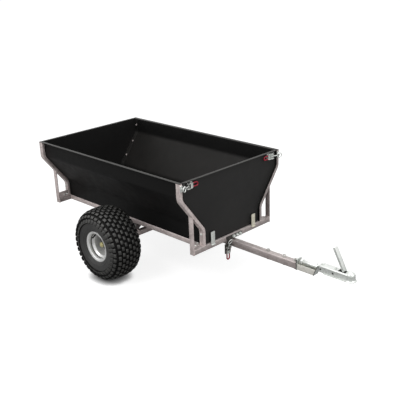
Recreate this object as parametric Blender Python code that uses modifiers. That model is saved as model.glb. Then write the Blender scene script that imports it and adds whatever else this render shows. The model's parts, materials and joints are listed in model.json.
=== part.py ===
"""Two-wheeled trailer for an all-terrain vehicle, as separate named pieces.

Metres, +Z up, +X towards the coupler, +Y to the trailer's left. Every length
below is measured from the axle; the last step moves the whole trailer along X
so that its bounding box is centred on the origin.
"""
import math

import bmesh
import bpy
from mathutils import Matrix, Vector

# Overall layout, measured from the axle
FRONT_X = 0.763
REAR_X = -0.897
AXLE_X = -0.450
RIM_TOP_Z = 0.892
GAP = 0.0003

# Base frame of the tub: square tubes
FRAME_TUBE = 0.040
FRAME_WALL = 0.0025
FRAME_Z = 0.360
RAIL_Y = 0.268
POST_Y = 0.405
POST_THICKNESS = 0.006
FRAME_TOP = FRAME_Z + FRAME_TUBE / 2
FRAME_BOTTOM = FRAME_Z - FRAME_TUBE / 2

# Side of the tub: corners of the panel's outer face, seen along X
SIDE_CORNERS = [(0.288, FRAME_TOP + GAP), (0.288, 0.505), (0.488, 0.770), (0.488, 0.8885)]
LOWER_BEND = 0.075
UPPER_BEND = 0.050
BEND_STEPS = 4
UPRIGHT_DEPTH = 0.0247
UPRIGHT_WALL = 0.002
SHEET = 0.003
LIP_WIDTH = 0.024
GATE_X = 0.7465
GATE_PLAY = 0.0015
REAR_PANEL_X = -0.8765
REAR_FLANGE = 0.040

# Chassis
DRAWBAR_TUBE = 0.050
DRAWBAR_Z = 0.308
DRAWBAR_REAR = -0.045
DRAWBAR_FRONT = 1.343
BEAM_Z = 0.2627
BEAM_HALF = 0.380
PIVOT = Vector((-0.020, 0.0, 0.320))
LUG_Y = 0.271
EAR_Y = 0.2775
PLATE = 0.006
DRAWBAR_BOLTS = (1.085, 1.228, 1.322)

# Hex bolts: thread diameters, and places on the left side
SMALL_BOLT = 0.008
LARGE_BOLT = 0.012
GUSSET_BOLTS = ((0.690, 0.302), (0.708, 0.338))
REAR_PLATE_BOLTS = ((0.328, 0.400), (0.353, 0.400))
HOOK_BOLTS = (-0.007, 0.029, 0.061)

# Wheels: 22x11-8 tyre on an 8 inch rim
WHEEL_Y = 0.570
TYRE_RADIUS = 0.2805
TYRE_HALF_WIDTH = 0.127
KNOB_HEIGHT = 0.011
BEAD_RADIUS = 0.1022
BEAD_HALF = 0.0965
FLANGE_RADIUS = 0.1180
FLANGE_HALF = 0.1075
TYRE_WALL = 0.009
SPINDLE_RADIUS = 0.0125
TYRE_STEPS = 28
TREAD_ROWS = 3
TREAD_SHARE = 0.78
# The wheel stands on the flat faces of its knobs
WHEEL_Z = (TYRE_RADIUS - KNOB_HEIGHT) * math.cos(math.pi / TYRE_STEPS) + KNOB_HEIGHT
HUB_INNER = WHEEL_Y - 0.050
HUB_OUTER = WHEEL_Y + 0.042
NUT_Y = HUB_OUTER + 0.0012

# Swivel and ball coupler
SWIVEL_Z = 0.345
HEAD_FRONT = 1.4835
HEAD_LEAN = 0.40
BALL_X = 1.757
BALL_Z = 0.362
SHELL_REAR = 1.530
SHELL_HALF = 0.030
SHELL_WALL = 0.004
SHELL_BOTTOM = 0.3285
SHELL_TOP = 0.377
COUPLER_BOLTS = (1.545, 1.640)
LEVER_PIVOT = Vector((1.706, 0.0, 0.3885))
LEVER_LEAN = math.radians(62)
LEVER_LENGTH = 0.182

# Draw latch, in its own frame: x to the hook, y along the pins, z off the surface
LATCH_PIN = Vector((0.015, 0.0, 0.0175))
LOOP_PIN = Vector((-0.002, 0.0, 0.0095))
RING_CENTRE = Vector((0.063, 0.0, 0.0375))
RING_RADIUS = 0.0185
WIRE_RADIUS = 0.0035
GRIP_RADIUS = 0.0045
PRONG_OFFSET = 0.06675
PRONG_REACH = 0.032
GATE_LATCH_Y = 0.4267
GATE_LATCH_Z = 0.8565
DRAWBAR_LATCH = Vector((0.750, -0.065, 0.277))

for old in list(bpy.data.objects):
    bpy.data.objects.remove(old, do_unlink=True)

parts = bpy.data.collections.new("atv_trailer")
cutters = bpy.data.collections.new("atv_trailer_cutters")
bpy.context.scene.collection.children.link(parts)
bpy.context.scene.collection.children.link(cutters)


def finish_of(name, colour, roughness, metallic):
    """Principled material with one colour."""
    made = bpy.data.materials.new(name)
    made.use_nodes = True
    shader = made.node_tree.nodes["Principled BSDF"]
    shader.inputs["Base Color"].default_value = (*colour, 1.0)
    shader.inputs["Roughness"].default_value = roughness
    shader.inputs["Metallic"].default_value = metallic
    return made


GALVANISED = finish_of("galvanised_steel", (0.42, 0.37, 0.36), 0.55, 0.6)
BLACK_SHEET = finish_of("black_powder_coat", (0.022, 0.022, 0.022), 0.5, 0.0)
ZINC = finish_of("zinc_plate", (0.60, 0.62, 0.60), 0.35, 0.9)
YELLOW_ZINC = finish_of("yellow_zinc", (0.70, 0.62, 0.38), 0.4, 0.8)
DARK_STEEL = finish_of("dark_steel", (0.07, 0.07, 0.065), 0.5, 0.7)
RIM_SILVER = finish_of("rim_silver", (0.55, 0.55, 0.53), 0.4, 0.7)
RUBBER = finish_of("tyre_rubber", (0.02, 0.02, 0.02), 0.85, 0.0)


def add(name, mesh, finish, collection=parts):
    """New object from a mesh, with its finish."""
    made = bpy.data.objects.new(name, mesh)
    collection.objects.link(made)
    mesh.materials.clear()
    mesh.materials.append(finish)
    if collection is cutters:
        made.hide_render = True
        made.display_type = "WIRE"
    return made


def baked(source, name, finish, collection=parts, weld=0.00001):
    """Evaluated mesh of an object, closed and with its faces pointing out."""
    bpy.context.view_layer.update()
    graph = bpy.context.evaluated_depsgraph_get()
    mesh = bpy.data.meshes.new_from_object(source.evaluated_get(graph))
    mesh.transform(source.matrix_world)
    work = bmesh.new()
    work.from_mesh(mesh)
    bmesh.ops.remove_doubles(work, verts=work.verts, dist=weld)
    bmesh.ops.dissolve_degenerate(work, edges=work.edges, dist=weld)
    bmesh.ops.recalc_face_normals(work, faces=work.faces)
    work.to_mesh(mesh)
    work.free()
    bpy.data.objects.remove(source, do_unlink=True)
    return add(name, mesh, finish, collection)


def arc(centre, radius, start, end, steps):
    """Points of an arc, angles in radians."""
    turn = (end - start) / steps
    return [(centre[0] + radius * math.cos(start + turn * i),
             centre[1] + radius * math.sin(start + turn * i)) for i in range(steps + 1)]


def circle(centre, radius, steps=20):
    """Closed round loop."""
    return arc(centre, radius, 0.0, 2 * math.pi, steps)[:-1]


def filleted(corners, radii, steps=4, closed=True):
    """Corner points with each corner rounded by its own radius."""
    points = []
    count = len(corners)
    for i, (corner, radius) in enumerate(zip(corners, radii)):
        end_of_path = not closed and i in (0, count - 1)
        if radius <= 0.0 or end_of_path:
            points.append(corner)
            continue
        here = Vector(corner)
        before = (Vector(corners[i - 1]) - here).normalized()
        after = (Vector(corners[(i + 1) % count]) - here).normalized()
        half = before.angle(after) / 2
        middle = here + (before + after).normalized() * (radius / math.sin(half))
        first = here + before * (radius / math.tan(half)) - middle
        last = here + after * (radius / math.tan(half)) - middle
        start = math.atan2(first.y, first.x)
        sweep = math.remainder(math.atan2(last.y, last.x) - start, 2 * math.pi)
        points += arc(middle, radius, start, start + sweep, steps)
    return points


def rounded_rectangle(centre, width, height, radius, steps=2):
    """Closed loop of a rectangle with round corners."""
    x, y = width / 2, height / 2
    corners = [(centre[0] - x, centre[1] - y), (centre[0] + x, centre[1] - y),
               (centre[0] + x, centre[1] + y), (centre[0] - x, centre[1] + y)]
    return filleted(corners, [radius] * 4, steps)


PLANES = {
    "XY": Matrix.Identity(4),
    "XZ": Matrix.Rotation(math.radians(90), 4, "X"),
    "YZ": Matrix.Rotation(math.radians(90), 4, "Z") @ Matrix.Rotation(math.radians(90), 4, "X"),
}
NORMALS = {"XY": Vector((0, 0, 1)), "XZ": Vector((0, 1, 0)), "YZ": Vector((1, 0, 0))}
AXES = {
    "Y": Matrix.Rotation(math.radians(-90), 4, "X"),
    "Z": Matrix.Identity(4),
}


def plate(name, loops, plane, low, high, finish, collection=parts):
    """Flat outline with its holes, as thick as from low to high along the plane's normal."""
    curve = bpy.data.curves.new(name, "CURVE")
    curve.dimensions = "2D"
    curve.fill_mode = "BOTH"
    curve.extrude = (high - low) / 2
    for loop in loops:
        spline = curve.splines.new("POLY")
        spline.points.add(len(loop) - 1)
        for point, (a, b) in zip(spline.points, loop):
            point.co = (a, b, 0.0, 1.0)
        spline.use_cyclic_u = True
    flat = bpy.data.objects.new(name + "_curve", curve)
    flat.matrix_world = Matrix.Translation(NORMALS[plane] * ((low + high) / 2)) @ PLANES[plane]
    bpy.context.scene.collection.objects.link(flat)
    return baked(flat, name, finish, collection)


def box(name, low, high, finish, collection=parts):
    """Box between two corners."""
    work = bmesh.new()
    bmesh.ops.create_cube(work, size=1.0)
    low, high = Vector(low), Vector(high)
    size = high - low
    bmesh.ops.scale(work, vec=size, verts=work.verts)
    bmesh.ops.translate(work, vec=(low + high) / 2, verts=work.verts)
    mesh = bpy.data.meshes.new(name)
    work.to_mesh(mesh)
    work.free()
    return add(name, mesh, finish, collection)


def turning_to(direction):
    """Rotation that takes +Z to a direction."""
    return Vector(direction).to_track_quat("Z", "Y").to_matrix().to_4x4()


def rod(name, start, end, radius, finish, collection=parts, sides=0):
    """Round or hexagonal bar between two points."""
    sides = sides or (20 if radius > 0.008 else 10)
    start, end = Vector(start), Vector(end)
    work = bmesh.new()
    place = Matrix.Translation((start + end) / 2) @ turning_to(end - start)
    bmesh.ops.create_cone(work, cap_ends=True, segments=sides, radius1=radius, radius2=radius,
                          depth=(end - start).length, matrix=place)
    mesh = bpy.data.meshes.new(name)
    work.to_mesh(mesh)
    work.free()
    return add(name, mesh, finish, collection)


def turned(name, profile, axis, centre, finish, steps=32, closed=True, collection=parts,
           phase=0.0):
    """Profile of (radius, height) points turned about an axis through a centre."""
    mesh = bpy.data.meshes.new(name)
    count = len(profile)
    edges = [(i, (i + 1) % count) for i in range(count if closed else count - 1)]
    mesh.from_pydata([(r, 0.0, h) for r, h in profile], edges, [])
    source = bpy.data.objects.new(name + "_profile", mesh)
    turn = Matrix.Rotation(phase, 4, "Z")
    source.matrix_world = Matrix.Translation(centre) @ AXES[axis] @ turn
    bpy.context.scene.collection.objects.link(source)
    screw = source.modifiers.new("turn", "SCREW")
    screw.steps = steps
    screw.render_steps = steps
    screw.use_merge_vertices = True
    screw.merge_threshold = 0.00001
    return baked(source, name, finish, collection)


def combine(target, others, operation):
    """Boolean of an object with tool objects, which move to the cutters."""
    for other in others:
        for home in list(other.users_collection):
            home.objects.unlink(other)
        cutters.objects.link(other)
        other.hide_render = True
        other.display_type = "WIRE"
        step = target.modifiers.new(operation.lower(), "BOOLEAN")
        step.operation = operation
        step.solver = "EXACT"
        step.object = other
    return target


def joined(target, others):
    """One solid out of several that run into each other."""
    return combine(target, others, "UNION")


def cut(target, others):
    """Target with the others taken away."""
    return combine(target, others, "DIFFERENCE")


def settle(target):
    """Work the Booleans out and keep the resulting mesh under the same name."""
    name = target.name
    finish = target.data.materials[0]
    tools = [step.object for step in target.modifiers if step.type == "BOOLEAN"]
    target.name = name + "_source"
    made = baked(target, name, finish, weld=0.000001)
    for tool in tools:
        bpy.data.objects.remove(tool, do_unlink=True)
    return made


def drilled(target, centres, direction, radius, depth):
    """Holes of one size through a piece, each centred on a point."""
    reach = Vector(direction).normalized() * depth / 2
    drills = [rod(target.name + "_drill", Vector(c) - reach, Vector(c) + reach, radius,
                  DARK_STEEL, cutters) for c in centres]
    return settle(cut(target, drills))


def sawn(target, point, normal):
    """Piece cut off flat by a plane, with the side that the normal points to taken away."""
    work = bmesh.new()
    work.from_mesh(target.data)
    everything = work.verts[:] + work.edges[:] + work.faces[:]
    made = bmesh.ops.bisect_plane(work, geom=everything, plane_co=point, plane_no=normal,
                                  clear_outer=True)
    rim = [item for item in made["geom_cut"] if isinstance(item, bmesh.types.BMEdge)]
    bmesh.ops.triangle_fill(work, edges=rim, use_beauty=True, normal=normal)
    bmesh.ops.recalc_face_normals(work, faces=work.faces)
    work.to_mesh(target.data)
    work.free()
    return target


def smooth(target, angle=35):
    """Smooth shading with creases kept sharp."""
    target.data.shade_smooth()
    target.data.set_sharp_from_angle(angle=math.radians(angle))
    return target


def hung_from(target, point):
    """Move the origin of an object to a point and leave its shape in place."""
    target.data.transform(Matrix.Translation(-Vector(point)))
    target.location = Vector(point)
    return target


def bolted(target, seats, size, grip=0.0):
    """Piece with hex bolt heads on its seats, and nuts on the far side of the grip."""
    heads = []
    for seat, direction in seats:
        seat, out = Vector(seat), Vector(direction).normalized()
        sink = out * 0.0008
        heads.append(rod("bolt_head", seat - sink, seat + out * size * 0.62, size * 0.92, ZINC,
                         sides=6))
        if grip:
            far = seat - out * grip
            heads.append(rod("bolt_end", far + sink, far - out * size * 0.8, size * 0.92, ZINC,
                             sides=6))
    return settle(joined(target, heads))


# Side profile of the tub

def side_corners(offset):
    """Corners of the side's outer face moved outwards by an offset."""
    moved = []
    count = len(SIDE_CORNERS)
    for i, corner in enumerate(SIDE_CORNERS):
        sides = []
        for a, b in ((i - 1, i), (i, i + 1)):
            if a >= 0 and b < count:
                run = Vector(SIDE_CORNERS[b]) - Vector(SIDE_CORNERS[a])
                sides.append(Vector((run.y, -run.x)).normalized())
        if len(sides) == 1:
            shift = sides[0]
        else:
            shift = (sides[0] + sides[1]) / (1 + sides[0].dot(sides[1]))
        moved.append(tuple(Vector(corner) + shift * offset))
    return moved


def side_line(offset, low=None, high=None):
    """Side profile as points from bottom to top, with both bends concentric."""
    corners = side_corners(offset)
    if low is not None:
        corners[0] = (corners[0][0], low)
    if high is not None:
        corners[-1] = (corners[-1][0], high)
    radii = [0, LOWER_BEND - offset, UPPER_BEND + offset, 0]
    return filleted(corners, radii, BEND_STEPS, closed=False)


def on_side(points, side):
    """Points of the left side, mirrored for the right one."""
    return [(side * y, z) for y, z in points]


# Base frame

def square_tube(name, centre, plane, low, high, size, wall, finish, corner=0.005):
    """Straight square tube with rounded corners, open at its ends."""
    outer = rounded_rectangle(centre, size, size, corner)
    inner = rounded_rectangle(centre, size - 2 * wall, size - 2 * wall, corner / 2)
    return smooth(plate(name, [outer, inner], plane, low, high, finish))


def make_rails():
    for label, side in (("left", 1), ("right", -1)):
        square_tube("rail_" + label, (side * RAIL_Y, FRAME_Z), "YZ", REAR_X + FRAME_TUBE + GAP,
                    FRONT_X - FRAME_TUBE - GAP, FRAME_TUBE, FRAME_WALL, GALVANISED)


def frame_ends():
    """Names of the two frame ends with the X of their tube centres."""
    return (("front", FRONT_X - FRAME_TUBE / 2), ("rear", REAR_X + FRAME_TUBE / 2))


def make_members():
    half = POST_Y - POST_THICKNESS / 2 - GAP
    for label, x in frame_ends():
        square_tube("cross_member_" + label, (x, FRAME_Z), "XZ", -half, half,
                    FRAME_TUBE, FRAME_WALL, GALVANISED)


def make_posts():
    """Flat corner posts, cut along the slanted outer face of the uprights."""
    low, high = side_corners(UPRIGHT_DEPTH + 2 * GAP)[1:3]
    half = Vector((FRAME_TUBE / 2, POST_THICKNESS / 2, 0.0))
    for end, x in frame_ends():
        for label, side in (("left", 1), ("right", -1)):
            foot = Vector((x, side * POST_Y, FRAME_BOTTOM))
            head = Vector((x, side * POST_Y, 0.70))
            post = box("post_" + end + "_" + label, foot - half, head + half, GALVANISED)
            normal = Vector((0, side * (low[1] - high[1]), high[0] - low[0]))
            smooth(sawn(post, (x, side * low[0], low[1]), normal))


def make_uprights():
    """Bent rectangular tubes that carry the side panels."""
    for end, x in frame_ends():
        for label, side in (("left", 1), ("right", -1)):
            loop = side_line(GAP) + side_line(UPRIGHT_DEPTH)[::-1]
            half = FRAME_TUBE / 2
            bar = plate("upright_" + end + "_" + label, [on_side(loop, side)], "YZ",
                        x - half, x + half, GALVANISED)
            edge = bar.modifiers.new("edge", "BEVEL")
            edge.width = 0.002
            edge.segments = 1
            edge.limit_method = "ANGLE"
            edge.angle_limit = math.radians(60)
            bore = (side_line(GAP + UPRIGHT_WALL, 0.36, 0.91)
                    + side_line(UPRIGHT_DEPTH - UPRIGHT_WALL, 0.36, 0.91)[::-1])
            hollow = plate("upright_bore", [on_side(bore, side)], "YZ", x - half + UPRIGHT_WALL,
                           x + half - UPRIGHT_WALL, DARK_STEEL, cutters)
            bar = settle(cut(bar, [hollow]))
            seat = (x, side * (SIDE_CORNERS[0][0] + UPRIGHT_DEPTH), 0.465)
            smooth(bolted(bar, [(seat, (0, side, 0))], SMALL_BOLT))


def make_front_gussets():
    """Flat triangles in the corners behind the front member."""
    back = FRONT_X - FRAME_TUBE - GAP
    near = RAIL_Y + FRAME_TUBE / 2 + GAP
    far = POST_Y - POST_THICKNESS / 2 - GAP
    for label, side in (("left", 1), ("right", -1)):
        corners = [(back - 0.085, near), (back, near), (back, far)]
        corners = filleted([(x, side * y) for x, y in corners], [0.004, 0, 0.004], 2)
        gusset = plate("gusset_front_" + label, [corners], "XY", FRAME_TOP - 0.004, FRAME_TOP,
                       GALVANISED)
        bolted(gusset, [((x, side * y, FRAME_TOP), (0, 0, 1)) for x, y in GUSSET_BOLTS],
               SMALL_BOLT, 0.004)


def make_rear_gussets():
    """Upright plates between post and upright on the rear member."""
    face = REAR_X + FRAME_TUBE
    low = FRAME_TOP + GAP
    near = SIDE_CORNERS[0][0] + UPRIGHT_DEPTH + GAP
    far = POST_Y - POST_THICKNESS / 2 - GAP
    for label, side in (("left", 1), ("right", -1)):
        corners = filleted([(side * near, low), (side * far, low), (side * far, low + 0.052),
                            (side * near, low + 0.052)], [0, 0, 0.006, 0.006], 2)
        gusset = plate("gusset_rear_" + label, [corners], "YZ", face - 0.004, face, GALVANISED)
        bolted(gusset, [((face, side * y, z), (1, 0, 0)) for y, z in REAR_PLATE_BOLTS],
               SMALL_BOLT, 0.004)


def make_pivot_ears():
    """Plates under the rails that hang on the pivot bolts."""
    x, z = PIVOT.x, PIVOT.z
    top = FRAME_BOTTOM - GAP
    corners = [(x - 0.070, top), (x - 0.030, z - 0.026), (x + 0.030, z - 0.026), (x + 0.070, top)]
    loop = filleted(corners, [0, 0.012, 0.012, 0], 4)
    hole = circle((x, z), 0.0064, 12)
    for label, side in (("left", 1), ("right", -1)):
        middle = side * EAR_Y
        plate("pivot_ear_" + label, [loop, hole], "XZ", middle - PLATE / 2, middle + PLATE / 2,
              GALVANISED)


# Tub sheets

def sheet_profile(offset, low, top, lip):
    """Closed loop of a folded side sheet whose outer face lies at an offset."""
    outside = side_line(offset, low, top - SHEET)
    inside = side_line(offset - SHEET, low, top)
    edge = outside[-1][0] + lip
    lip_loop = [(edge, top - SHEET), (edge, top)] if lip > 0 else []
    return outside + lip_loop + inside[::-1]


def panel_bolts():
    """Seats and directions of the bolts along the rear corners, on the left side."""
    inner = -2 * SHEET - GAP
    x = REAR_PANEL_X + SHEET / 2 + REAR_FLANGE / 2
    low, high = side_corners(inner)[1:3]
    run = Vector((high[0] - low[0], high[1] - low[1])).normalized()
    seats = [((x, low[0], 0.435), (0, -1, 0)), ((x, high[0], 0.835), (0, -1, 0))]
    for share in (0.30, 0.72):
        y = low[0] + (high[0] - low[0]) * share
        z = low[1] + (high[1] - low[1]) * share
        seats.append(((x, y, z), (0, -run.y, run.x)))
    return seats


def make_side_panels():
    for label, side in (("left", 1), ("right", -1)):
        loop = sheet_profile(0.0, FRAME_TOP + GAP, RIM_TOP_Z, LIP_WIDTH)
        panel = plate("side_panel_" + label, [on_side(loop, side)], "YZ", REAR_X, FRONT_X,
                      BLACK_SHEET)
        smooth(panel)


def end_outline(offset, low, high):
    """Closed loop of an end panel between the sides."""
    line = side_line(offset, low, high)
    return line + [(-y, z) for y, z in line[::-1]]


def make_rear_panel():
    """Rear panel with flanges folded forward along the sides and a lip folded back."""
    inner = -SHEET - GAP
    low = FRAME_TOP + GAP
    half = SHEET / 2
    panel = plate("rear_panel", [end_outline(inner, low, RIM_TOP_Z)], "YZ",
                  REAR_PANEL_X - half, REAR_PANEL_X + half, BLACK_SHEET)
    extras = [box("rear_lip", (REAR_X, -side_corners(inner)[3][0], RIM_TOP_Z - SHEET),
                  (REAR_PANEL_X, side_corners(inner)[3][0], RIM_TOP_Z), BLACK_SHEET)]
    for side in (1, -1):
        loop = sheet_profile(inner, low + SHEET + GAP, RIM_TOP_Z - 0.004, 0.0)
        extras.append(plate("rear_flange", [on_side(loop, side)], "YZ", REAR_PANEL_X,
                            REAR_PANEL_X + half + REAR_FLANGE, BLACK_SHEET))
    panel = settle(joined(panel, extras))
    seats = [((x, side * y, z), (0, side * dy, dz))
             for side in (1, -1) for (x, y, z), (_, dy, dz) in panel_bolts()]
    smooth(bolted(panel, seats, SMALL_BOLT))


def make_floor():
    """Floor sheet with its rear corners notched for the rear panel's flanges."""
    rear = REAR_PANEL_X + SHEET / 2 + GAP
    front = GATE_X - SHEET / 2 - GAP
    notch = rear + REAR_FLANGE + 2 * GAP
    wide = SIDE_CORNERS[0][0] - SHEET - GAP
    narrow = wide - SHEET - 2 * GAP
    half = [(rear, narrow), (notch, narrow), (notch, wide), (front, wide)]
    loop = half + [(x, -y) for x, y in half[::-1]]
    plate("floor_sheet", [loop], "XY", FRAME_TOP + GAP, FRAME_TOP + GAP + SHEET, BLACK_SHEET)


def make_gate_brackets():
    """Angles on the front member that keep the gate's lower edge from swinging out."""
    face = FRONT_X + GAP
    front = face + 0.005
    toe = front + 0.009
    low = FRAME_TOP - 0.014
    high = FRAME_TOP + 0.084
    half = 0.019
    corners = [(face, low), (toe, low), (toe, low + SHEET), (front, low + SHEET), (front, high),
               (face, high)]
    loop = filleted(corners, [0.003, 0, 0, 0.001, 0, 0], 3)
    for label, middle, finish in (("right", -0.221, ZINC), ("left", 0.210, YELLOW_ZINC)):
        plate("gate_bracket_" + label, [loop], "XZ", middle - half, middle + half, finish)


def make_gate():
    """Front panel that lifts out between the uprights."""
    inner = -SHEET - GATE_PLAY
    half = SHEET / 2
    outline = end_outline(inner, FRAME_TOP + 2 * GAP, RIM_TOP_Z)
    gate = plate("gate_panel", [outline], "YZ", GATE_X - half, GATE_X + half, BLACK_SHEET)
    reach = side_corners(inner)[3][0] - 0.004
    corners = filleted([(GATE_X, -reach), (GATE_X + 0.021, -reach), (GATE_X + 0.021, reach),
                        (GATE_X, reach)], [0, 0.014, 0.014, 0], 4)
    lip = plate("gate_lip", [corners], "XY", RIM_TOP_Z - SHEET, RIM_TOP_Z, BLACK_SHEET)
    smooth(settle(joined(gate, [lip])))


# Chassis

def make_drawbar():
    half = DRAWBAR_TUBE / 2
    tube = square_tube("drawbar_tube", (0.0, DRAWBAR_Z), "YZ", DRAWBAR_REAR, DRAWBAR_FRONT,
                       DRAWBAR_TUBE, 0.003, GALVANISED, 0.006)
    seats = [((x, 0.0, DRAWBAR_Z + half), (0, 0, 1)) for x in DRAWBAR_BOLTS]
    smooth(bolted(tube, seats, LARGE_BOLT, DRAWBAR_TUBE))
    face = DRAWBAR_FRONT + GAP
    loop = rounded_rectangle((0.0, 0.3215), 0.055, 0.082, 0.006)
    smooth(plate("drawbar_end_plate", [loop], "YZ", face, face + 0.010, DARK_STEEL))


def make_pivot_bolts():
    """Bolts that the tub tips about, head outside the ear and nut inside the lug."""
    for label, side in (("left", 1), ("right", -1)):
        outside = side * (EAR_Y + PLATE / 2 + GAP)
        inside = side * (LUG_Y - PLATE / 2 - GAP)
        head = LARGE_BOLT * 0.92
        x, z = PIVOT.x, PIVOT.z
        bolt = rod("pivot_bolt_" + label, (x, outside, z), (x, outside + side * 0.0075, z), head,
                   ZINC, sides=6)
        nut = rod("pivot_nut", (x, inside, z), (x, inside - side * 0.010, z), head, ZINC, sides=6)
        shank = rod("pivot_shank", (x, outside + side * 0.001, z), (x, inside - side * 0.013, z),
                    LARGE_BOLT / 2, ZINC, sides=12)
        smooth(settle(joined(bolt, [nut, shank])))


def make_axle():
    """Beam under the drawbar, stub axles on its ends and lugs for the tub's pivots."""
    square_tube("axle_beam", (0.0, BEAM_Z), "XZ", -BEAM_HALF, BEAM_HALF, FRAME_TUBE, 0.003,
                GALVANISED)
    base = BEAM_Z + FRAME_TUBE / 2 + GAP
    crown = arc((PIVOT.x, PIVOT.z), 0.015, math.radians(15), math.radians(180), 6)
    lug = [(-0.020, base), (0.020, base)] + crown + [(-0.035, PIVOT.z - 0.010)]
    hole = circle((PIVOT.x, PIVOT.z), 0.0064, 12)
    for label, side in (("left", 1), ("right", -1)):
        middle = side * LUG_Y
        plate("pivot_lug_" + label, [lug, hole], "XZ", middle - PLATE / 2, middle + PLATE / 2,
              GALVANISED)
        inner = BEAM_HALF + GAP
        loop = rounded_rectangle((0.0, 0.2786), 0.070, 0.072, 0.010)
        faces = sorted((side * inner, side * (inner + 0.008)))
        flange = plate("stub_axle_" + label, [loop], "XZ", faces[0], faces[1], GALVANISED)
        profile = [(0.0, inner + 0.004), (0.021, inner + 0.004), (0.021, inner + 0.060),
                   (0.018, inner + 0.066), (0.018, HUB_INNER - 0.001),
                   (SPINDLE_RADIUS, HUB_INNER - 0.001), (SPINDLE_RADIUS, NUT_Y + 0.020),
                   (SPINDLE_RADIUS - 0.0015, NUT_Y + 0.0215), (0.0, NUT_Y + 0.0215)]
        profile = [(r, side * h) for r, h in profile]
        shaft = turned("spindle", profile, "Y", (0.0, 0.0, WHEEL_Z), GALVANISED, 16, closed=False)
        smooth(settle(joined(flange, [shaft])))
        start = (0, side * NUT_Y, WHEEL_Z)
        nut = rod("axle_nut_" + label, start, (0, side * (NUT_Y + 0.018), WHEEL_Z), 0.0205,
                  YELLOW_ZINC, sides=6)
        drilled(nut, [start], (0, 1, 0), SPINDLE_RADIUS + 0.0005, 0.08)


# Wheels

def rim_profile(side):
    """Deep-dished rim with its web and hub tube, as (radius, distance along the axle)."""
    wall = 0.003
    barrel = [(FLANGE_RADIUS, FLANGE_HALF), (0.1160, 0.1040), (0.1014, 0.0990),
              (0.1008, 0.0760), (0.0860, 0.0560), (0.0860, -0.0200), (0.1008, -0.0480),
              (0.1014, -0.0990), (0.1160, -0.1040), (FLANGE_RADIUS, -FLANGE_HALF)]
    inside = [(0.1140, -0.1078), (0.0985, -0.1030), (0.0965, -0.0480), (0.0830, -0.0200)]
    web = [(0.0830, 0.0060), (0.0700, 0.0000), (0.0450, -0.0060), (0.0240, -0.0040)]
    hub = [(0.0240, HUB_INNER - WHEEL_Y), (0.0136, HUB_INNER - WHEEL_Y),
           (0.0136, HUB_OUTER - WHEEL_Y), (0.0240, HUB_OUTER - WHEEL_Y)]
    web_front = [(r, h + wall) for r, h in web[::-1]]
    front = [(0.0830, 0.0570), (0.0965, 0.0740), (0.0985, 0.1030), (0.1140, 0.1078)]
    points = barrel + inside + web + hub + web_front + front
    return [(r, side * h) for r, h in points]


def tyre_line(depth, steps, flat):
    """Half of a tyre's section, a depth below its surface, from the tread to the bead."""
    widest = 0.190
    half_width = TYRE_HALF_WIDTH - depth
    crown = TYRE_RADIUS - KNOB_HEIGHT - depth
    lip, lip_half = FLANGE_RADIUS + 0.002 + depth, FLANGE_HALF + 0.001 - depth
    bead_half = BEAD_HALF - depth
    points = []
    for i in range(flat + 1):
        share = i / flat * TREAD_SHARE
        h = half_width * share
        points.append((widest + (crown - widest) * (1 - share ** 3.2) ** (1 / 3.2), h))
    for i in range(1, steps + 1):
        angle = math.radians(90) * i / steps
        start = points[flat]
        r = widest + (start[0] - widest) * math.cos(angle)
        h = start[1] + (half_width - start[1]) * math.sin(angle)
        points.append((r, h))
    for i in range(1, steps + 1):
        share = i / steps
        h = lip_half + (half_width - lip_half) * (1 - share ** 2.2)
        points.append((widest + (lip - widest) * share, h))
    return points + [(lip, bead_half), (BEAD_RADIUS, bead_half)]


def make_wheels():
    for label, side in (("left", 1), ("right", -1)):
        centre = (0.0, side * WHEEL_Y, WHEEL_Z)
        rim = turned("rim_" + label, rim_profile(side), "Y", centre, RIM_SILVER, 20)
        smooth(hung_from(rim, centre))
        make_tyre("tyre_" + label, side, centre)


def make_tyre(name, side, centre):
    """Carcass with square tread knobs raised on a chequered pattern."""
    outer = tyre_line(0.0, 2, TREAD_ROWS)
    inner = tyre_line(TYRE_WALL, 1, 1)
    loop = ([(r, -h) for r, h in outer[:0:-1]] + outer
            + inner[::-1] + [(r, -h) for r, h in inner[1:]])
    tyre = turned(name, loop, "Y", centre, RUBBER, TYRE_STEPS, phase=math.pi / TYRE_STEPS)
    raise_knobs(tyre, centre)
    smooth(hung_from(tyre, centre))


def raise_knobs(tyre, centre):
    """Inset and lift every other face of the tread."""
    work = bmesh.new()
    work.from_mesh(tyre.data)
    floor = TYRE_RADIUS - KNOB_HEIGHT - 0.022
    chosen = []
    for face in work.faces:
        middle = face.calc_center_median() - Vector(centre)
        radius = math.hypot(middle.x, middle.z)
        outward = face.normal.dot(Vector((middle.x, 0, middle.z)))
        if radius < floor or outward < 0:
            continue
        step = round(math.atan2(middle.z, middle.x) / (2 * math.pi) * TYRE_STEPS)
        row = round(middle.y / (TYRE_HALF_WIDTH * TREAD_SHARE / TREAD_ROWS) - 0.5)
        if (step + row) % 2 == 0:
            chosen.append(face)
    bmesh.ops.inset_individual(work, faces=chosen, thickness=0.0022)
    for face in chosen:
        out = face.normal.copy()
        made = bmesh.ops.extrude_discrete_faces(work, faces=[face])["faces"][0]
        for vert in made.verts:
            vert.co += out * KNOB_HEIGHT
    work.to_mesh(tyre.data)
    work.free()


# Swivel and coupler

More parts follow.
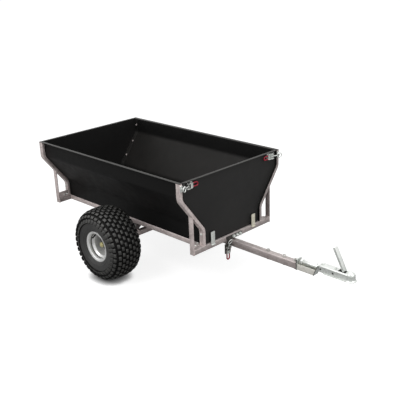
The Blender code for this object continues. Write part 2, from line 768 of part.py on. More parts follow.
def make_head():
    """Channel on the drawbar's end with its oblique front plate and the swivel's sleeve."""
    back = DRAWBAR_FRONT + 0.010 + 2 * GAP
    half = DRAWBAR_TUBE / 2
    low = DRAWBAR_Z - half
    wall = 0.004
    top = 0.327
    channel = [(-half, top), (-half, low), (half, low), (half, top), (half - wall, top),
               (half - wall, low + wall), (wall - half, low + wall), (wall - half, top)]
    loop = filleted(channel, [0.001, 0.006, 0.006, 0.001, 0.001, 0.002, 0.002, 0.001], 3)
    head = plate("drawbar_head", [loop], "YZ", back, 1.53, ZINC)
    crest = 0.362

    def oblique(z, ahead):
        return HEAD_FRONT + HEAD_LEAN * (z - low) + ahead, z

    smooth(sawn(head, Vector((HEAD_FRONT - GAP, 0, low)), Vector((1, 0, -HEAD_LEAN))))
    slab = [oblique(low, 0), oblique(low, 0.005), oblique(crest, 0.005), oblique(crest, 0)]
    front_plate = plate("head_front_plate", [slab], "XZ", -half, half, DARK_STEEL)
    drilled(front_plate, [(1.51, 0.0, SWIVEL_Z)], (1, 0, 0), 0.0149, 0.08)
    sleeve = rod("swivel_sleeve", (1.3905, 0, SWIVEL_Z), (1.516, 0, SWIVEL_Z), 0.0145,
                 DARK_STEEL, sides=16)
    keel = box("sleeve_keel", (1.400, -0.004, low + wall + GAP), (1.470, 0.004, SWIVEL_Z - 0.012),
               DARK_STEEL)
    sleeve = settle(joined(sleeve, [keel]))
    smooth(drilled(sleeve, [(1.45, 0, SWIVEL_Z)], (1, 0, 0), 0.0127, 0.20))


def make_swivel_shaft():
    """Round bar in the sleeve with the block that the coupler shell is bolted to."""
    bar = rod("swivel_shaft", (1.366, 0, SWIVEL_Z), (1.540, 0, SWIVEL_Z), 0.0120, ZINC, sides=16)
    inner = SHELL_HALF - SHELL_WALL - GAP
    block = box("swivel_block", (1.534, -inner, 0.3325), (1.662, inner, SHELL_TOP - SHELL_WALL - GAP),
                ZINC)
    smooth(settle(joined(bar, [block])))
    nut = rod("swivel_nut", (1.372, 0, SWIVEL_Z), (1.388, 0, SWIVEL_Z), 0.0195, ZINC, sides=6)
    smooth(drilled(nut, [(1.38, 0, SWIVEL_Z)], (1, 0, 0), 0.0125, 0.04))


def make_coupler_shell():
    """Pressed steel shell: channel, dome over the ball and a lip round the lower edge."""
    body = box("coupler_shell", (SHELL_REAR, -SHELL_HALF, SHELL_BOTTOM),
               (BALL_X - 0.006, SHELL_HALF, SHELL_TOP), ZINC)
    edge = body.modifiers.new("edge", "BEVEL")
    edge.width = 0.006
    edge.segments = 3
    edge.limit_method = "ANGLE"
    dome_profile = [(0.0, BALL_Z + 0.0305)]
    dome_profile += [(r, BALL_Z + z) for r, z in arc((0, 0), 0.0305, math.pi / 2, 0, 5)[1:]]
    dome_profile += [(0.0330, SHELL_BOTTOM + 0.010), (0.0385, SHELL_BOTTOM + 0.0042),
                     (0.0400, SHELL_BOTTOM + 0.0030), (0.0400, SHELL_BOTTOM), (0.0, SHELL_BOTTOM)]
    dome = turned("dome", dome_profile, "Z", (BALL_X, 0, 0), ZINC, 18, closed=False)
    lip_half = SHELL_HALF + 0.006
    lip_loop = filleted([(SHELL_REAR + 0.03, -lip_half), (BALL_X, -lip_half), (BALL_X, lip_half),
                         (SHELL_REAR + 0.03, lip_half)], [0.012, 0, 0, 0.012], 4)
    lip = plate("lip", [lip_loop], "XY", SHELL_BOTTOM, SHELL_BOTTOM + 0.0035, ZINC)
    inner = SHELL_HALF - SHELL_WALL
    hollow = box("hollow", (SHELL_REAR - 0.02, -inner, 0.30),
                 (BALL_X - 0.010, inner, SHELL_TOP - SHELL_WALL), DARK_STEEL, cutters)
    cup_profile = [(0.0, BALL_Z + 0.0263)]
    cup_profile += [(r, BALL_Z + z) for r, z in arc((0, 0), 0.0263, math.pi / 2, 0, 5)[1:]]
    cup_profile += [(0.0263, 0.30), (0.0, 0.30)]
    cup = turned("cup", cup_profile, "Z", (BALL_X, 0, 0), DARK_STEEL, 18, closed=False,
                 collection=cutters)
    slot = box("slot", (1.668, -0.0180, 0.36), (1.7235, 0.0180, 0.42), DARK_STEEL, cutters)
    shell = settle(cut(joined(body, [dome, lip]), [hollow, cup, slot]))
    shell = bolted(shell, [((x, 0, SHELL_TOP), (0, 0, 1)) for x in COUPLER_BOLTS], 0.0105)
    for side in (1, -1):
        shell = drilled(shell, [(x, side * SHELL_HALF, 0.351) for x in COUPLER_BOLTS],
                        (0, 1, 0), 0.0065, 0.012)
    smooth(shell)


def make_coupler_lever():
    """Channel-section handle that leans back over the shell, with the jaw's cam below."""
    along = Vector((-math.cos(LEVER_LEAN), 0, math.sin(LEVER_LEAN)))
    across = Vector((along.z, 0, -along.x))
    half, depth, wall = 0.0160, 0.018, 0.0025

    def at(distance, height):
        point = LEVER_PIVOT + along * distance + across * height
        return point.x, point.z

    side_corners_loop = [at(-0.010, -0.008), at(-0.010, 0.008), at(0.018, 0.008),
                         at(LEVER_LENGTH * 0.85, depth / 2), at(LEVER_LENGTH * 0.85, -depth / 2),
                         at(0.018, -0.008)]
    radii = [0.006, 0.006, 0.01, 0.004, 0.004, 0.01]
    loop = filleted(side_corners_loop, radii, 3)
    body = plate("coupler_lever", [loop], "XZ", -half, half, ZINC)
    inner_corners = [at(-0.030, -0.030), at(-0.030, 0.0055), at(0.018, 0.0055),
                     at(LEVER_LENGTH * 0.85 - 0.006, depth / 2 - wall),
                     at(LEVER_LENGTH * 0.85 - 0.006, -0.030)]
    trough = plate("trough", [inner_corners], "XZ", wall - half, half - wall, DARK_STEEL, cutters)
    lever = settle(cut(body, [trough]))
    smooth(hung_from(lever, LEVER_PIVOT))


def make_jaw():
    """Clamp behind the ball, hollowed to the ball's radius."""
    block = box("coupler_jaw", (1.716, -0.012, 0.345), (1.741, 0.012, 0.370), DARK_STEEL)
    ball = turned("ball_form", [(0.0, BALL_Z + 0.0256)]
                  + [(r, BALL_Z + z) for r, z in arc((0, 0), 0.0256, math.pi / 2,
                                                     -math.pi / 2, 12)[1:-1]]
                  + [(0.0, BALL_Z - 0.0256)], "Z", (BALL_X, 0, 0), DARK_STEEL, 24,
                  closed=False, collection=cutters)
    hung_from(settle(cut(block, [ball])), (1.716, 0, 0.368))


# Draw latches

def latch_frames():
    """Name and placing of each latch: two on the gate, one on the drawbar."""
    frames = []
    gate_face = GATE_X + SHEET / 2 + GAP
    for label, side in (("left", 1), ("right", -1)):
        pull = Vector((0, side, 0))
        off = Vector((1, 0, 0))
        seat = Vector((gate_face, side * GATE_LATCH_Y, GATE_LATCH_Z))
        frames.append(("gate_" + label, frame_matrix(pull, off, seat)))
    frames.append(("drawbar", frame_matrix(Vector((0, 0, 1)), Vector((1, 0, 0)), DRAWBAR_LATCH)))
    return frames


def frame_matrix(pull, off, seat):
    """Placing with x along the pull, z off the surface and y across."""
    across = off.cross(pull)
    turn = Matrix((pull, across, off)).transposed().to_4x4()
    return Matrix.Translation(seat) @ turn


def placed(piece, frame, origin):
    """Put a piece made in the latch's frame in its place, hung from its own pin."""
    hung_from(piece, origin)
    piece.matrix_world = frame @ Matrix.Translation(origin)
    return piece


def make_latch_base(label):
    """Base plate with two ears for the lever's rivets."""
    loop = rounded_rectangle((0.0, 0.0), 0.080, 0.047, 0.007)
    base = plate("latch_base_" + label, [loop], "XY", 0.0, 0.003, ZINC)
    extras = []
    corners = [(-0.020, 0.001), (0.0325, 0.001), (0.024, 0.0262), (0.0065, 0.0262)]
    for side in (1, -1):
        faces = sorted((side * 0.0193, side * 0.0223))
        extras.append(plate("latch_ear", [filleted(corners, [0, 0, 0.0075, 0.0075], 3)], "XZ",
                            faces[0], faces[1], ZINC))
    if label == "drawbar":
        extras.append(latch_bracket())
    base = settle(joined(base, extras))
    return drilled(base, [LATCH_PIN], (0, 1, 0), 0.0041, 0.06)


def latch_bracket():
    """Angle that carries the base plate beside the drawbar, in the latch's frame."""
    side = DRAWBAR_LATCH.y + DRAWBAR_TUBE / 2 + GAP
    corners = [(0.010, 0.001), (0.010, -0.003), (side + 0.004, -0.003), (side + 0.004, -0.032),
               (side, -0.032), (side, 0.001)]
    loop = filleted(corners, [0, 0, 0.001, 0, 0, 0.004], 2)
    low = DRAWBAR_TUBE / 2
    return plate("latch_bracket", [loop], "YZ", 0.010, 0.010 + low, ZINC)


def make_latch_lever(label):
    """Lever of two side plates and a web, with rivets and a dipped wire grip."""
    corners = [(0.024, 0.0115), (0.024, 0.0245), (0.0075, 0.0256), (-0.0375, 0.0170),
               (-0.0375, 0.0058), (0.000, 0.0042)]
    loop = filleted(corners, [0.004, 0.005, 0.005, 0.0025, 0.0025, 0.004], 1)
    hole = circle((LOOP_PIN.x, LOOP_PIN.z), 0.0043, 8)
    sides = []
    for side in (1, -1):
        faces = sorted((side * 0.0160, side * 0.0190))
        sides.append(plate("latch_side", [loop, hole], "XZ", faces[0], faces[1], ZINC))
        sides.append(rod("latch_rivet", LATCH_PIN + Vector((0, side * 0.0150, 0)),
                         LATCH_PIN + Vector((0, side * 0.0245, 0)), 0.0036, ZINC, sides=6))
    web = box("latch_lever_" + label, (-0.037, -0.0175, 0.0125), (-0.016, 0.0175, 0.0155), ZINC)
    lever = settle(joined(web, sides + [make_grip()]))
    return lever


def make_grip():
    """Bent wire with a thick dipped skin, closed by a half turn."""
    half, height = 0.0125, 0.0115
    start, turn = -0.025, -0.070
    path = [(start, half, height), (turn, half, height)]
    path += [(turn + half * math.cos(a), half * math.sin(a), height)
             for a in [math.radians(90 + 180 * i / 4) for i in range(1, 4)]]
    path += [(turn, -half, height), (start, -half, height)]
    return wire("latch_grip", path, GRIP_RADIUS, ZINC)


def wire(name, path, radius, finish):
    """Round wire along points, with closed ends."""
    curve = bpy.data.curves.new(name, "CURVE")
    curve.dimensions = "3D"
    curve.bevel_depth = radius
    curve.bevel_resolution = 1
    curve.use_fill_caps = True
    spline = curve.splines.new("POLY")
    spline.points.add(len(path) - 1)
    for point, place in zip(spline.points, path):
        point.co = (*place, 1.0)
    source = bpy.data.objects.new(name + "_curve", curve)
    bpy.context.scene.collection.objects.link(source)
    return baked(source, name, finish)


def make_latch_loop(label):
    """Eye of wire with a neck and a cross bar that turns in the lever."""
    bpy.ops.mesh.primitive_torus_add(major_radius=RING_RADIUS, minor_radius=WIRE_RADIUS,
                                     major_segments=12, minor_segments=6)
    source = bpy.context.active_object
    pull = (RING_CENTRE - LOOP_PIN).normalized()
    lift = -math.atan2(pull.z, pull.x)
    source.matrix_world = Matrix.Translation(RING_CENTRE) @ Matrix.Rotation(lift, 4, "Y")
    ring = baked(source, "latch_loop_" + label, ZINC)
    neck = rod("loop_neck", LOOP_PIN, RING_CENTRE - pull * RING_RADIUS, WIRE_RADIUS * 0.97, ZINC,
               sides=6)
    reach = Vector((0, 0.0187, 0))
    bar = rod("loop_bar", LOOP_PIN - reach, LOOP_PIN + reach, 0.0034, ZINC, sides=6)
    return settle(joined(ring, [neck, bar]))


def make_latches():
    for label, frame in latch_frames():
        base = make_latch_base(label)
        base.matrix_world = frame
        placed(make_latch_lever(label), frame, LATCH_PIN)
        placed(make_latch_loop(label), frame, LOOP_PIN)


def make_keepers():
    """Plates with a short prong for the draw loops, on the uprights and the front member."""
    face = FRONT_X + GAP
    reach = GATE_X + SHEET / 2 + GAP + PRONG_REACH
    prong_y = GATE_LATCH_Y + PRONG_OFFSET
    for label, side in (("left", 1), ("right", -1)):
        loop = rounded_rectangle((side * 0.5002, GATE_LATCH_Z), 0.023, 0.045, 0.004)
        keeper = plate("keeper_" + label, [loop], "YZ", face, face + 0.003, ZINC)
        ys = sorted((side * prong_y, side * (prong_y + 0.010)))
        prong = box("prong", (face + 0.002, ys[0], GATE_LATCH_Z - 0.006),
                    (reach, ys[1], GATE_LATCH_Z + 0.006), ZINC)
        settle(joined(keeper, [prong]))
    hook = plate("latch_hook", [rounded_rectangle((-0.0025, 0.3605), 0.160, 0.030, 0.004)], "YZ",
                 face, face + 0.004, ZINC)
    low = DRAWBAR_LATCH.z + PRONG_OFFSET
    prong = box("hook_prong", (face + 0.002, DRAWBAR_LATCH.y - 0.006, low),
                (DRAWBAR_LATCH.x + PRONG_REACH, DRAWBAR_LATCH.y + 0.006, low + 0.010), ZINC)
    hook = settle(joined(hook, [prong]))
    bolted(hook, [((face + 0.004, y, 0.3605), (1, 0, 0)) for y in HOOK_BOLTS], SMALL_BOLT)


def move_to_row_frame():
    """Centre the trailer's bounding box on the origin along X."""
    for collection in (parts, cutters):
        for piece in collection.objects:
            piece.location.x += AXLE_X


def main():
    make_rails()
    make_members()
    make_posts()
    make_uprights()
    make_front_gussets()
    make_rear_gussets()
    make_pivot_ears()
    make_side_panels()
    make_rear_panel()
    make_floor()
    make_gate_brackets()
    make_gate()
    make_drawbar()
    make_pivot_bolts()
    make_axle()
    make_wheels()
    make_head()
    make_swivel_shaft()
    make_coupler_shell()
    make_coupler_lever()
    make_jaw()
    make_latches()
    make_keepers()
    move_to_row_frame()


main()
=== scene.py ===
import json
import math

import bmesh
import bpy
from mathutils import Matrix, Vector


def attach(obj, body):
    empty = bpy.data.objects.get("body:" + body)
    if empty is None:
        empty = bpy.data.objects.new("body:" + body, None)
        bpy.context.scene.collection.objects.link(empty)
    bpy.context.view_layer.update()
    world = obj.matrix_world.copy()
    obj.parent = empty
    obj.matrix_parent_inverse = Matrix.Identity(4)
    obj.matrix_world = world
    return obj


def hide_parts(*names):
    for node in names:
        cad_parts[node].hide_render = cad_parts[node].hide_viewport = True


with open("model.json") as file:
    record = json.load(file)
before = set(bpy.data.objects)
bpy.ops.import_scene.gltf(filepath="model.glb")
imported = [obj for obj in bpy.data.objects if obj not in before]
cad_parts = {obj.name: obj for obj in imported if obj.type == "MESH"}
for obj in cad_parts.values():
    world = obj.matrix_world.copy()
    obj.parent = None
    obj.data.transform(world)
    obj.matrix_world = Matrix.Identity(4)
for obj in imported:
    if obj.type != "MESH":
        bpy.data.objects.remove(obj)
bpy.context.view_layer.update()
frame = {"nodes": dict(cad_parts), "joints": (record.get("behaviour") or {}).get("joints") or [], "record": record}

joints = {j["name"]: j for j in frame["joints"]}
body_of = {n: b for b, nodes in frame["record"]["behaviour"]["bodies"].items() for n in nodes}

SIDES = (("left", 1), ("right", -1))

# Sizes of the trailer, in metres from the middle of its length
PLAY = 0.0003
FRONT_X = 0.313
REAR_X = -1.347
FRAME_TOP = 0.380
TUBE = 0.040
RAIL_FACES = (0.248, 0.288)
MEMBER_END = 0.4018
POST_FACES = (0.4025, 0.4075)
GUSSET = 0.004

RIM_TOP = 0.892
SIDE_CORNERS = [(0.288, 0.3803), (0.288, 0.505), (0.488, 0.770), (0.488, 0.8885)]
LOWER_BEND = 0.075
UPPER_BEND = 0.050
BEND_STEPS = 10
SHEET = 0.003
LIP = 0.024
UPRIGHT_DEPTH = 0.0247
UPRIGHT_WALL = 0.002
UPRIGHT_CORNER = 0.0040

AXLE_X = -0.450
BEAM_TOP = 0.2828
BEAM_END = 0.380
LUG_FACES = (0.268, 0.274)
EAR_FACES = (0.2745, 0.2805)
THREAD_Y = 0.600

DRAWBAR = 0.050
DRAWBAR_TOP = 0.333
DRAWBAR_FRONT = 0.893
DRAWBAR_BOLTS = (0.635, 0.778, 0.872)
HOOK_FACE = 0.3173
HOOK_BOLTS = (-0.007, 0.029, 0.061)

# Wheels, from the middle of each
KNOB_HEIGHT = 0.0135
KNOB_SINK = 0.0133
WIDEST = 0.190
CROWN_POWER = 2.8
CROWN_SHARE = 0.80
SHOULDER_RADIUS = 0.214
SHOULDER_HALF = 0.1235
ROW_SPREAD = 0.90
FULL_LEAN = 1.12
LEAN_POWER = 2.6
KNOB_TAPER = 0.13
KNOB_DOME = 0.22
SHOULDER_LUGS = {"Rows": 2, "Reach": 0.995, "Half Width": 0.1205, "Knob Length": 0.032,
                 "Knob Width": 0.044, "Knob Height": 0.0062}
SHOULDER_SINK = 0.0170
RIBS = {3: 0.0014, 4: 0.0014, 15: 0.0018, 16: 0.0018, 20: 0.0012, 21: 0.0012}
RIM_WALL = 0.003
HUB_RADIUS = 0.0245

# Coupler
BALL = Vector((1.307, 0.0, 0.362))
SHELL_REAR = 1.080
SHELL_HALF = 0.030
SHELL_LOW = 0.3285
SHELL_TOP = 0.377
SHELL_WALL = 0.004
SHELL_BOLTS = (1.095, 1.190)
DOME_RADIUS = 0.0305
SOCKET_RADIUS = 0.0263

# Draw latches: seat and pull of each, then sizes with x along the pull and z off the surface
LATCHES = {"gate_left": ((0.2983, 0.4267, 0.8565), (0, 1, 0)),
           "gate_right": ((0.2983, -0.4267, 0.8565), (0, -1, 0)),
           "drawbar": ((0.300, -0.065, 0.277), (0, 0, 1))}
OFF = Vector((1, 0, 0))
GRIP_HALF = 0.0125
GRIP_START = -0.040
GRIP_END = -0.070
GRIP_LIFT = 0.0115
LOOP_PIN = Vector((-0.002, 0, 0.0095))
RING_MIDDLE = Vector((0.063, 0, 0.0375))
RING_RADIUS = 0.0185

# Studio
FLOOR_REACH = 40.0
FLOOR_TONE = 0.34
FLOOR_LEVEL = 0.06
FLOOR_GLOW = 0.82
SHADOW_REACH = 0.060
SKY_FILL = 0.55
SKY_SEEN = 1.0


# Node trees

def reckoning(operation, swapped=False):
    """Method that puts a Math node behind a number and those that come with it."""
    def reckon(self, *others):
        values = (self, *others)
        return self.graph.maths(operation, *(values[::-1] if swapped else values))
    return reckon


class Number:
    """A socket of a graph that can be reckoned with."""

    def __init__(self, graph, socket):
        self.graph = graph
        self.socket = socket

    __add__ = reckoning("ADD")
    __sub__ = reckoning("SUBTRACT")
    __rsub__ = reckoning("SUBTRACT", swapped=True)
    __mul__ = reckoning("MULTIPLY")
    __truediv__ = reckoning("DIVIDE")
    __mod__ = reckoning("MODULO")
    __pow__ = reckoning("POWER")
    __abs__ = reckoning("ABSOLUTE")
    floor = reckoning("FLOOR")
    sign = reckoning("SIGN")
    sine = reckoning("SINE")
    cosine = reckoning("COSINE")
    at_least = reckoning("MAXIMUM")


class Graph:
    """A node tree that is filled by short calls, one for each node."""

    def __init__(self, tree):
        self.tree = tree

    def add(self, kind, inputs=None, **settings):
        made = self.tree.nodes.new(kind)
        for key, value in settings.items():
            setattr(made, key, value)
        for key, value in (inputs or {}).items():
            self.feed(made.inputs[key], value)
        return made

    def feed(self, socket, value):
        """Link a node or a socket to a socket, or set the socket's own value."""
        if isinstance(value, Number):
            value = value.socket
        if isinstance(value, bpy.types.Node):
            value = value.outputs[0]
        if isinstance(value, bpy.types.NodeSocket):
            self.tree.links.new(value, socket)
        else:
            socket.default_value = value

    def maths(self, operation, *values):
        """Result of a Math node on numbers or sockets."""
        made = self.add("ShaderNodeMath", operation=operation)
        for socket, value in zip(made.inputs, values):
            self.feed(socket, value)
        return Number(self, made)

    def parts(self, vector):
        """The three numbers of a vector."""
        split = self.add("ShaderNodeSeparateXYZ", {"Vector": vector})
        return [Number(self, part) for part in split.outputs]

    def vector(self, x, y, z):
        """Three numbers or sockets as one vector."""
        return self.add("ShaderNodeCombineXYZ", {"X": x, "Y": y, "Z": z})


class Finish(Graph):
    """A material whose pattern is laid out in the trailer's own space."""

    def __init__(self, name, roughness, metallic=0.0, **sockets):
        self.made = bpy.data.materials.new(name)
        self.made.use_nodes = True
        super().__init__(self.made.node_tree)
        self.shader = self.tree.nodes["Principled BSDF"]
        self.shader.inputs["Roughness"].default_value = roughness
        self.shader.inputs["Metallic"].default_value = metallic
        for key, value in sockets.items():
            self.shader.inputs[key.replace("_", " ")].default_value = value
        self.place = self.add("ShaderNodeTexCoord").outputs["Object"]

    def noise(self, scale, detail, stretch=None):
        """Value of a noise, in cycles per metre."""
        place = self.place
        if stretch:
            place = self.add("ShaderNodeMapping", {"Vector": place, "Scale": stretch})
        return self.add("ShaderNodeTexNoise", {"Vector": place, "Scale": scale, "Detail": detail,
                                               "Roughness": 0.55}).outputs[0]

    def crystals(self, scale):
        """One random grey for each cell, as on zinc that has set in crystals."""
        cells = self.add("ShaderNodeTexVoronoi", {"Vector": self.place, "Scale": scale})
        return self.add("ShaderNodeSeparateColor", {"Color": cells.outputs["Color"]}).outputs[0]

    def ramp(self, value, *stops):
        """Colour ramp through (place, colour) stops."""
        made = self.add("ShaderNodeValToRGB", {"Fac": value})
        points = made.color_ramp.elements
        while len(points) < len(stops):
            points.new(0.5)
        for point, (place, colour) in zip(points, stops):
            point.position = place
            point.color = (*colour, 1.0)
        return made.outputs[0]

    def between(self, value, low, high, start=0.3, end=0.7):
        """A value spread over another range."""
        return Number(self, self.add("ShaderNodeMapRange", {
            "Value": value, "From Min": start, "From Max": end, "To Min": low, "To Max": high}))

    def mixed(self, share, first, second, blend="MIX"):
        made = self.add("ShaderNodeMix", data_type="RGBA", blend_type=blend)
        for socket, value in zip((0, 6, 7), (share, first, second)):
            self.feed(made.inputs[socket], value)
        return made.outputs[2]

    def upwards(self):
        """How far a face looks up, from 0 to 1."""
        normal = self.add("ShaderNodeNewGeometry").outputs["Normal"]
        return self.parts(normal)[2].at_least(0.0)

    def colour(self, value):
        self.feed(self.shader.inputs["Base Color"], value)
        return self

    def clouded(self, scale, detail, *stops):
        """Colour that drifts through its stops."""
        return self.colour(self.ramp(self.noise(scale, detail), *stops))

    def polished(self, scale, detail, low, high):
        """Roughness that drifts between two values."""
        rough = self.between(self.noise(scale, detail), low, high)
        self.feed(self.shader.inputs["Roughness"], rough)
        return self

    def grained(self, *layers):
        """Bumps laid over each other, each a (scale, detail, depth in metres)."""
        normal = None
        for scale, detail, depth in layers:
            inputs = {"Height": self.noise(scale, detail), "Distance": depth}
            if normal is not None:
                inputs["Normal"] = normal
            normal = self.add("ShaderNodeBump", inputs).outputs[0]
        self.feed(self.shader.inputs["Normal"], normal)
        return self


# Finishes

def powder_coat(name, tone):
    """Black coat with a fine orange peel, a little dust and a painted highlight that makes the tops of the rolled
    edges paler.
    """
    coat = Finish(name, 0.50, 0.0, Specular_IOR_Level=0.13)
    base = coat.ramp(coat.noise(2.2, 4.0),
                     (0.30, (0.0090 * tone, 0.0089 * tone, 0.0088 * tone)),
                     (0.72, (0.0110 * tone, 0.0108 * tone, 0.0105 * tone)))
    up = coat.upwards()
    dust = coat.between(coat.noise(9.0, 6.0), 0.045, 0.065) * up
    # Painted highlight: faces that look up at the height of the rolled lip are mixed towards a paler grey,
    # standing in for the light that the lip catches.
    height = coat.parts(coat.place)[2]
    edge = coat.between(height, 0.0, 1.0, RIM_TOP - 0.004, RIM_TOP - 0.002) * up
    dusty = coat.mixed(dust, base, (0.22, 0.20, 0.18, 1.0))
    coat.colour(coat.mixed(edge, dusty, (0.055, 0.054, 0.052, 1.0)))
    coat.polished(14.0, 5.0, 0.47, 0.57)
    return coat.grained((420.0, 2.0, 0.00012), (5.0, 1.0, 0.0006)).made


def galvanised(name, tone, painted_top_light):
    """Dipped zinc that has set in crystals: its tone, which in the darker copies is painted shade, and how much
    painted light makes it paler facing up.
    """
    zinc = Finish(name, 0.50, 0.38)
    spangle = zinc.crystals(85.0)
    clouds = zinc.ramp(zinc.noise(11.0, 6.0), (0.30, (0.54, 0.455, 0.440)),
                       (0.70, (0.80, 0.705, 0.685)))
    patches = zinc.ramp(spangle, (0.0, (0.50, 0.425, 0.410)), (1.0, (0.86, 0.770, 0.750)))
    runs = zinc.between(zinc.noise(26.0, 5.0, (1.0, 1.0, 0.25)), 0.0, 0.35, 0.52, 0.75)
    streaked = zinc.mixed(runs, zinc.mixed(0.45, clouds, patches), (0.42, 0.355, 0.345, 1.0))
    toned = zinc.mixed(1.0, streaked, (tone, tone, tone, 1.0), "MULTIPLY")
    # Painted light: faces that look up are mixed towards a paler zinc.
    zinc.colour(zinc.mixed(zinc.upwards() * painted_top_light, toned, (0.84, 0.80, 0.78, 1.0)))
    zinc.feed(zinc.shader.inputs["Roughness"], zinc.between(spangle, 0.40, 0.62, 0.0, 1.0))
    return zinc.grained((160.0, 4.0, 0.00025), (18.0, 2.0, 0.0008)).made


def zinc_plate():
    """Bright plating, with painted light making it paler where it faces up."""
    plate = Finish("zinc_plate", 0.34, 0.60)
    tone = plate.ramp(plate.noise(30.0, 5.0), (0.30, (0.60, 0.635, 0.605)),
                      (0.55, (0.72, 0.745, 0.715)), (0.78, (0.84, 0.850, 0.820)))
    # Painted light: faces that look up are mixed towards a near-white zinc.
    plate.colour(plate.mixed(plate.upwards() * 0.50, tone, (0.90, 0.91, 0.89, 1.0)))
    return plate.polished(55.0, 5.0, 0.26, 0.44).grained((240.0, 3.0, 0.00012)).made


def warm_zinc():
    """Plating of the swivel head, which has gone a little yellow."""
    head = Finish("zinc_plate_head", 0.40, 0.30)
    head.clouded(38.0, 5.0, (0.30, (0.72, 0.700, 0.640)), (0.72, (0.92, 0.905, 0.850)))
    return head.polished(60.0, 4.0, 0.30, 0.50).grained((240.0, 3.0, 0.00012)).made


def worn_steel():
    worn = Finish("worn_steel", 0.44, 0.45)
    worn.clouded(32.0, 5.0, (0.30, (0.42, 0.410, 0.390)), (0.72, (0.62, 0.605, 0.580)))
    return worn.polished(70.0, 4.0, 0.34, 0.54).grained((260.0, 3.0, 0.00012)).made


def yellow_zinc():
    """Passivated plating with greener patches."""
    yellow = Finish("yellow_zinc", 0.34, 0.75)
    yellow.clouded(60.0, 4.0, (0.28, (0.62, 0.56, 0.22)), (0.50, (0.80, 0.74, 0.38)),
                   (0.74, (0.60, 0.60, 0.30)))
    return yellow.polished(90.0, 4.0, 0.26, 0.44).grained((260.0, 3.0, 0.00010)).made


def faded_zinc():
    """Yellow plating that has faded to cream."""
    cream = Finish("faded_zinc", 0.42, 0.35)
    cream.clouded(40.0, 4.0, (0.28, (0.60, 0.56, 0.44)), (0.72, (0.78, 0.75, 0.64)))
    return cream.polished(70.0, 4.0, 0.34, 0.52).grained((240.0, 3.0, 0.00010)).made


# Dark steel for the hook, the jaw and other dark parts. It is also the painted shade in the shell's hollow, on the
# sides of the swivel block and on the edges of the drawbar plates.
def dark_steel():
    dark = Finish("dark_plated_steel", 0.42, 0.60)
    dark.clouded(35.0, 5.0, (0.30, (0.045, 0.044, 0.040)), (0.72, (0.11, 0.105, 0.095)))
    return dark.polished(80.0, 4.0, 0.32, 0.52).grained((300.0, 3.0, 0.00010)).made


def rim_painted_shade():
    """Silver darkened as painted shade, for the bottom of the dish and the groove below the bead seat."""
    web = Finish("rim_silver_web", 0.50, 0.50)
    web.clouded(14.0, 4.0, (0.30, (0.11, 0.108, 0.105)), (0.72, (0.19, 0.186, 0.180)))
    return web.polished(45.0, 4.0, 0.42, 0.60).grained((420.0, 2.0, 0.00006)).made


def rim_silver():
    """Silver lacquer with bright flakes in it."""
    silver = Finish("rim_silver", 0.34, 0.55)
    flakes = silver.between(silver.crystals(900.0), 0.0, 0.35, 0.0, 1.0)
    lacquer = silver.ramp(silver.noise(12.0, 4.0), (0.3, (0.72, 0.72, 0.71)),
                          (0.7, (0.86, 0.86, 0.85)))
    silver.colour(silver.mixed(flakes, lacquer, (0.92, 0.92, 0.91, 1.0)))
    return silver.polished(40.0, 4.0, 0.30, 0.46).grained((500.0, 2.0, 0.00005)).made


def knob_rubber():
    rubber = Finish("tyre_knobs", 0.55)
    rubber.clouded(16.0, 6.0, (0.30, (0.024, 0.024, 0.023)), (0.75, (0.056, 0.055, 0.051)))
    return rubber.polished(70.0, 4.0, 0.34, 0.54).grained((600.0, 3.0, 0.00018),
                                                          (60.0, 3.0, 0.0005)).made


def gap_rubber():
    """Near-black rubber: painted shade between the knobs and on their flanks, and the valve stem's own black."""
    gap = Finish("tyre_between_knobs", 0.80, 0.0, Specular_IOR_Level=0.15)
    gap.clouded(22.0, 5.0, (0.30, (0.0030, 0.0030, 0.0029)), (0.75, (0.0075, 0.0074, 0.0070)))
    return gap.polished(80.0, 4.0, 0.70, 0.90).grained((500.0, 3.0, 0.00015)).made


def sidewall_rubber():
    wall = Finish("tyre_sidewall", 0.50)
    wall.clouded(9.0, 6.0, (0.30, (0.026, 0.026, 0.0255)), (0.75, (0.052, 0.051, 0.049)))
    return wall.polished(50.0, 4.0, 0.42, 0.60).grained((700.0, 3.0, 0.00010),
                                                        (30.0, 3.0, 0.0005)).made


def red_vinyl():
    """Skin of the grips, dipped and glossy."""
    red = Finish("red_dipped_vinyl", 0.28)
    red.clouded(80.0, 3.0, (0.30, (0.24, 0.004, 0.018)), (0.70, (0.36, 0.010, 0.032)))
    return red.polished(120.0, 3.0, 0.22, 0.36).grained((180.0, 2.0, 0.00015)).made


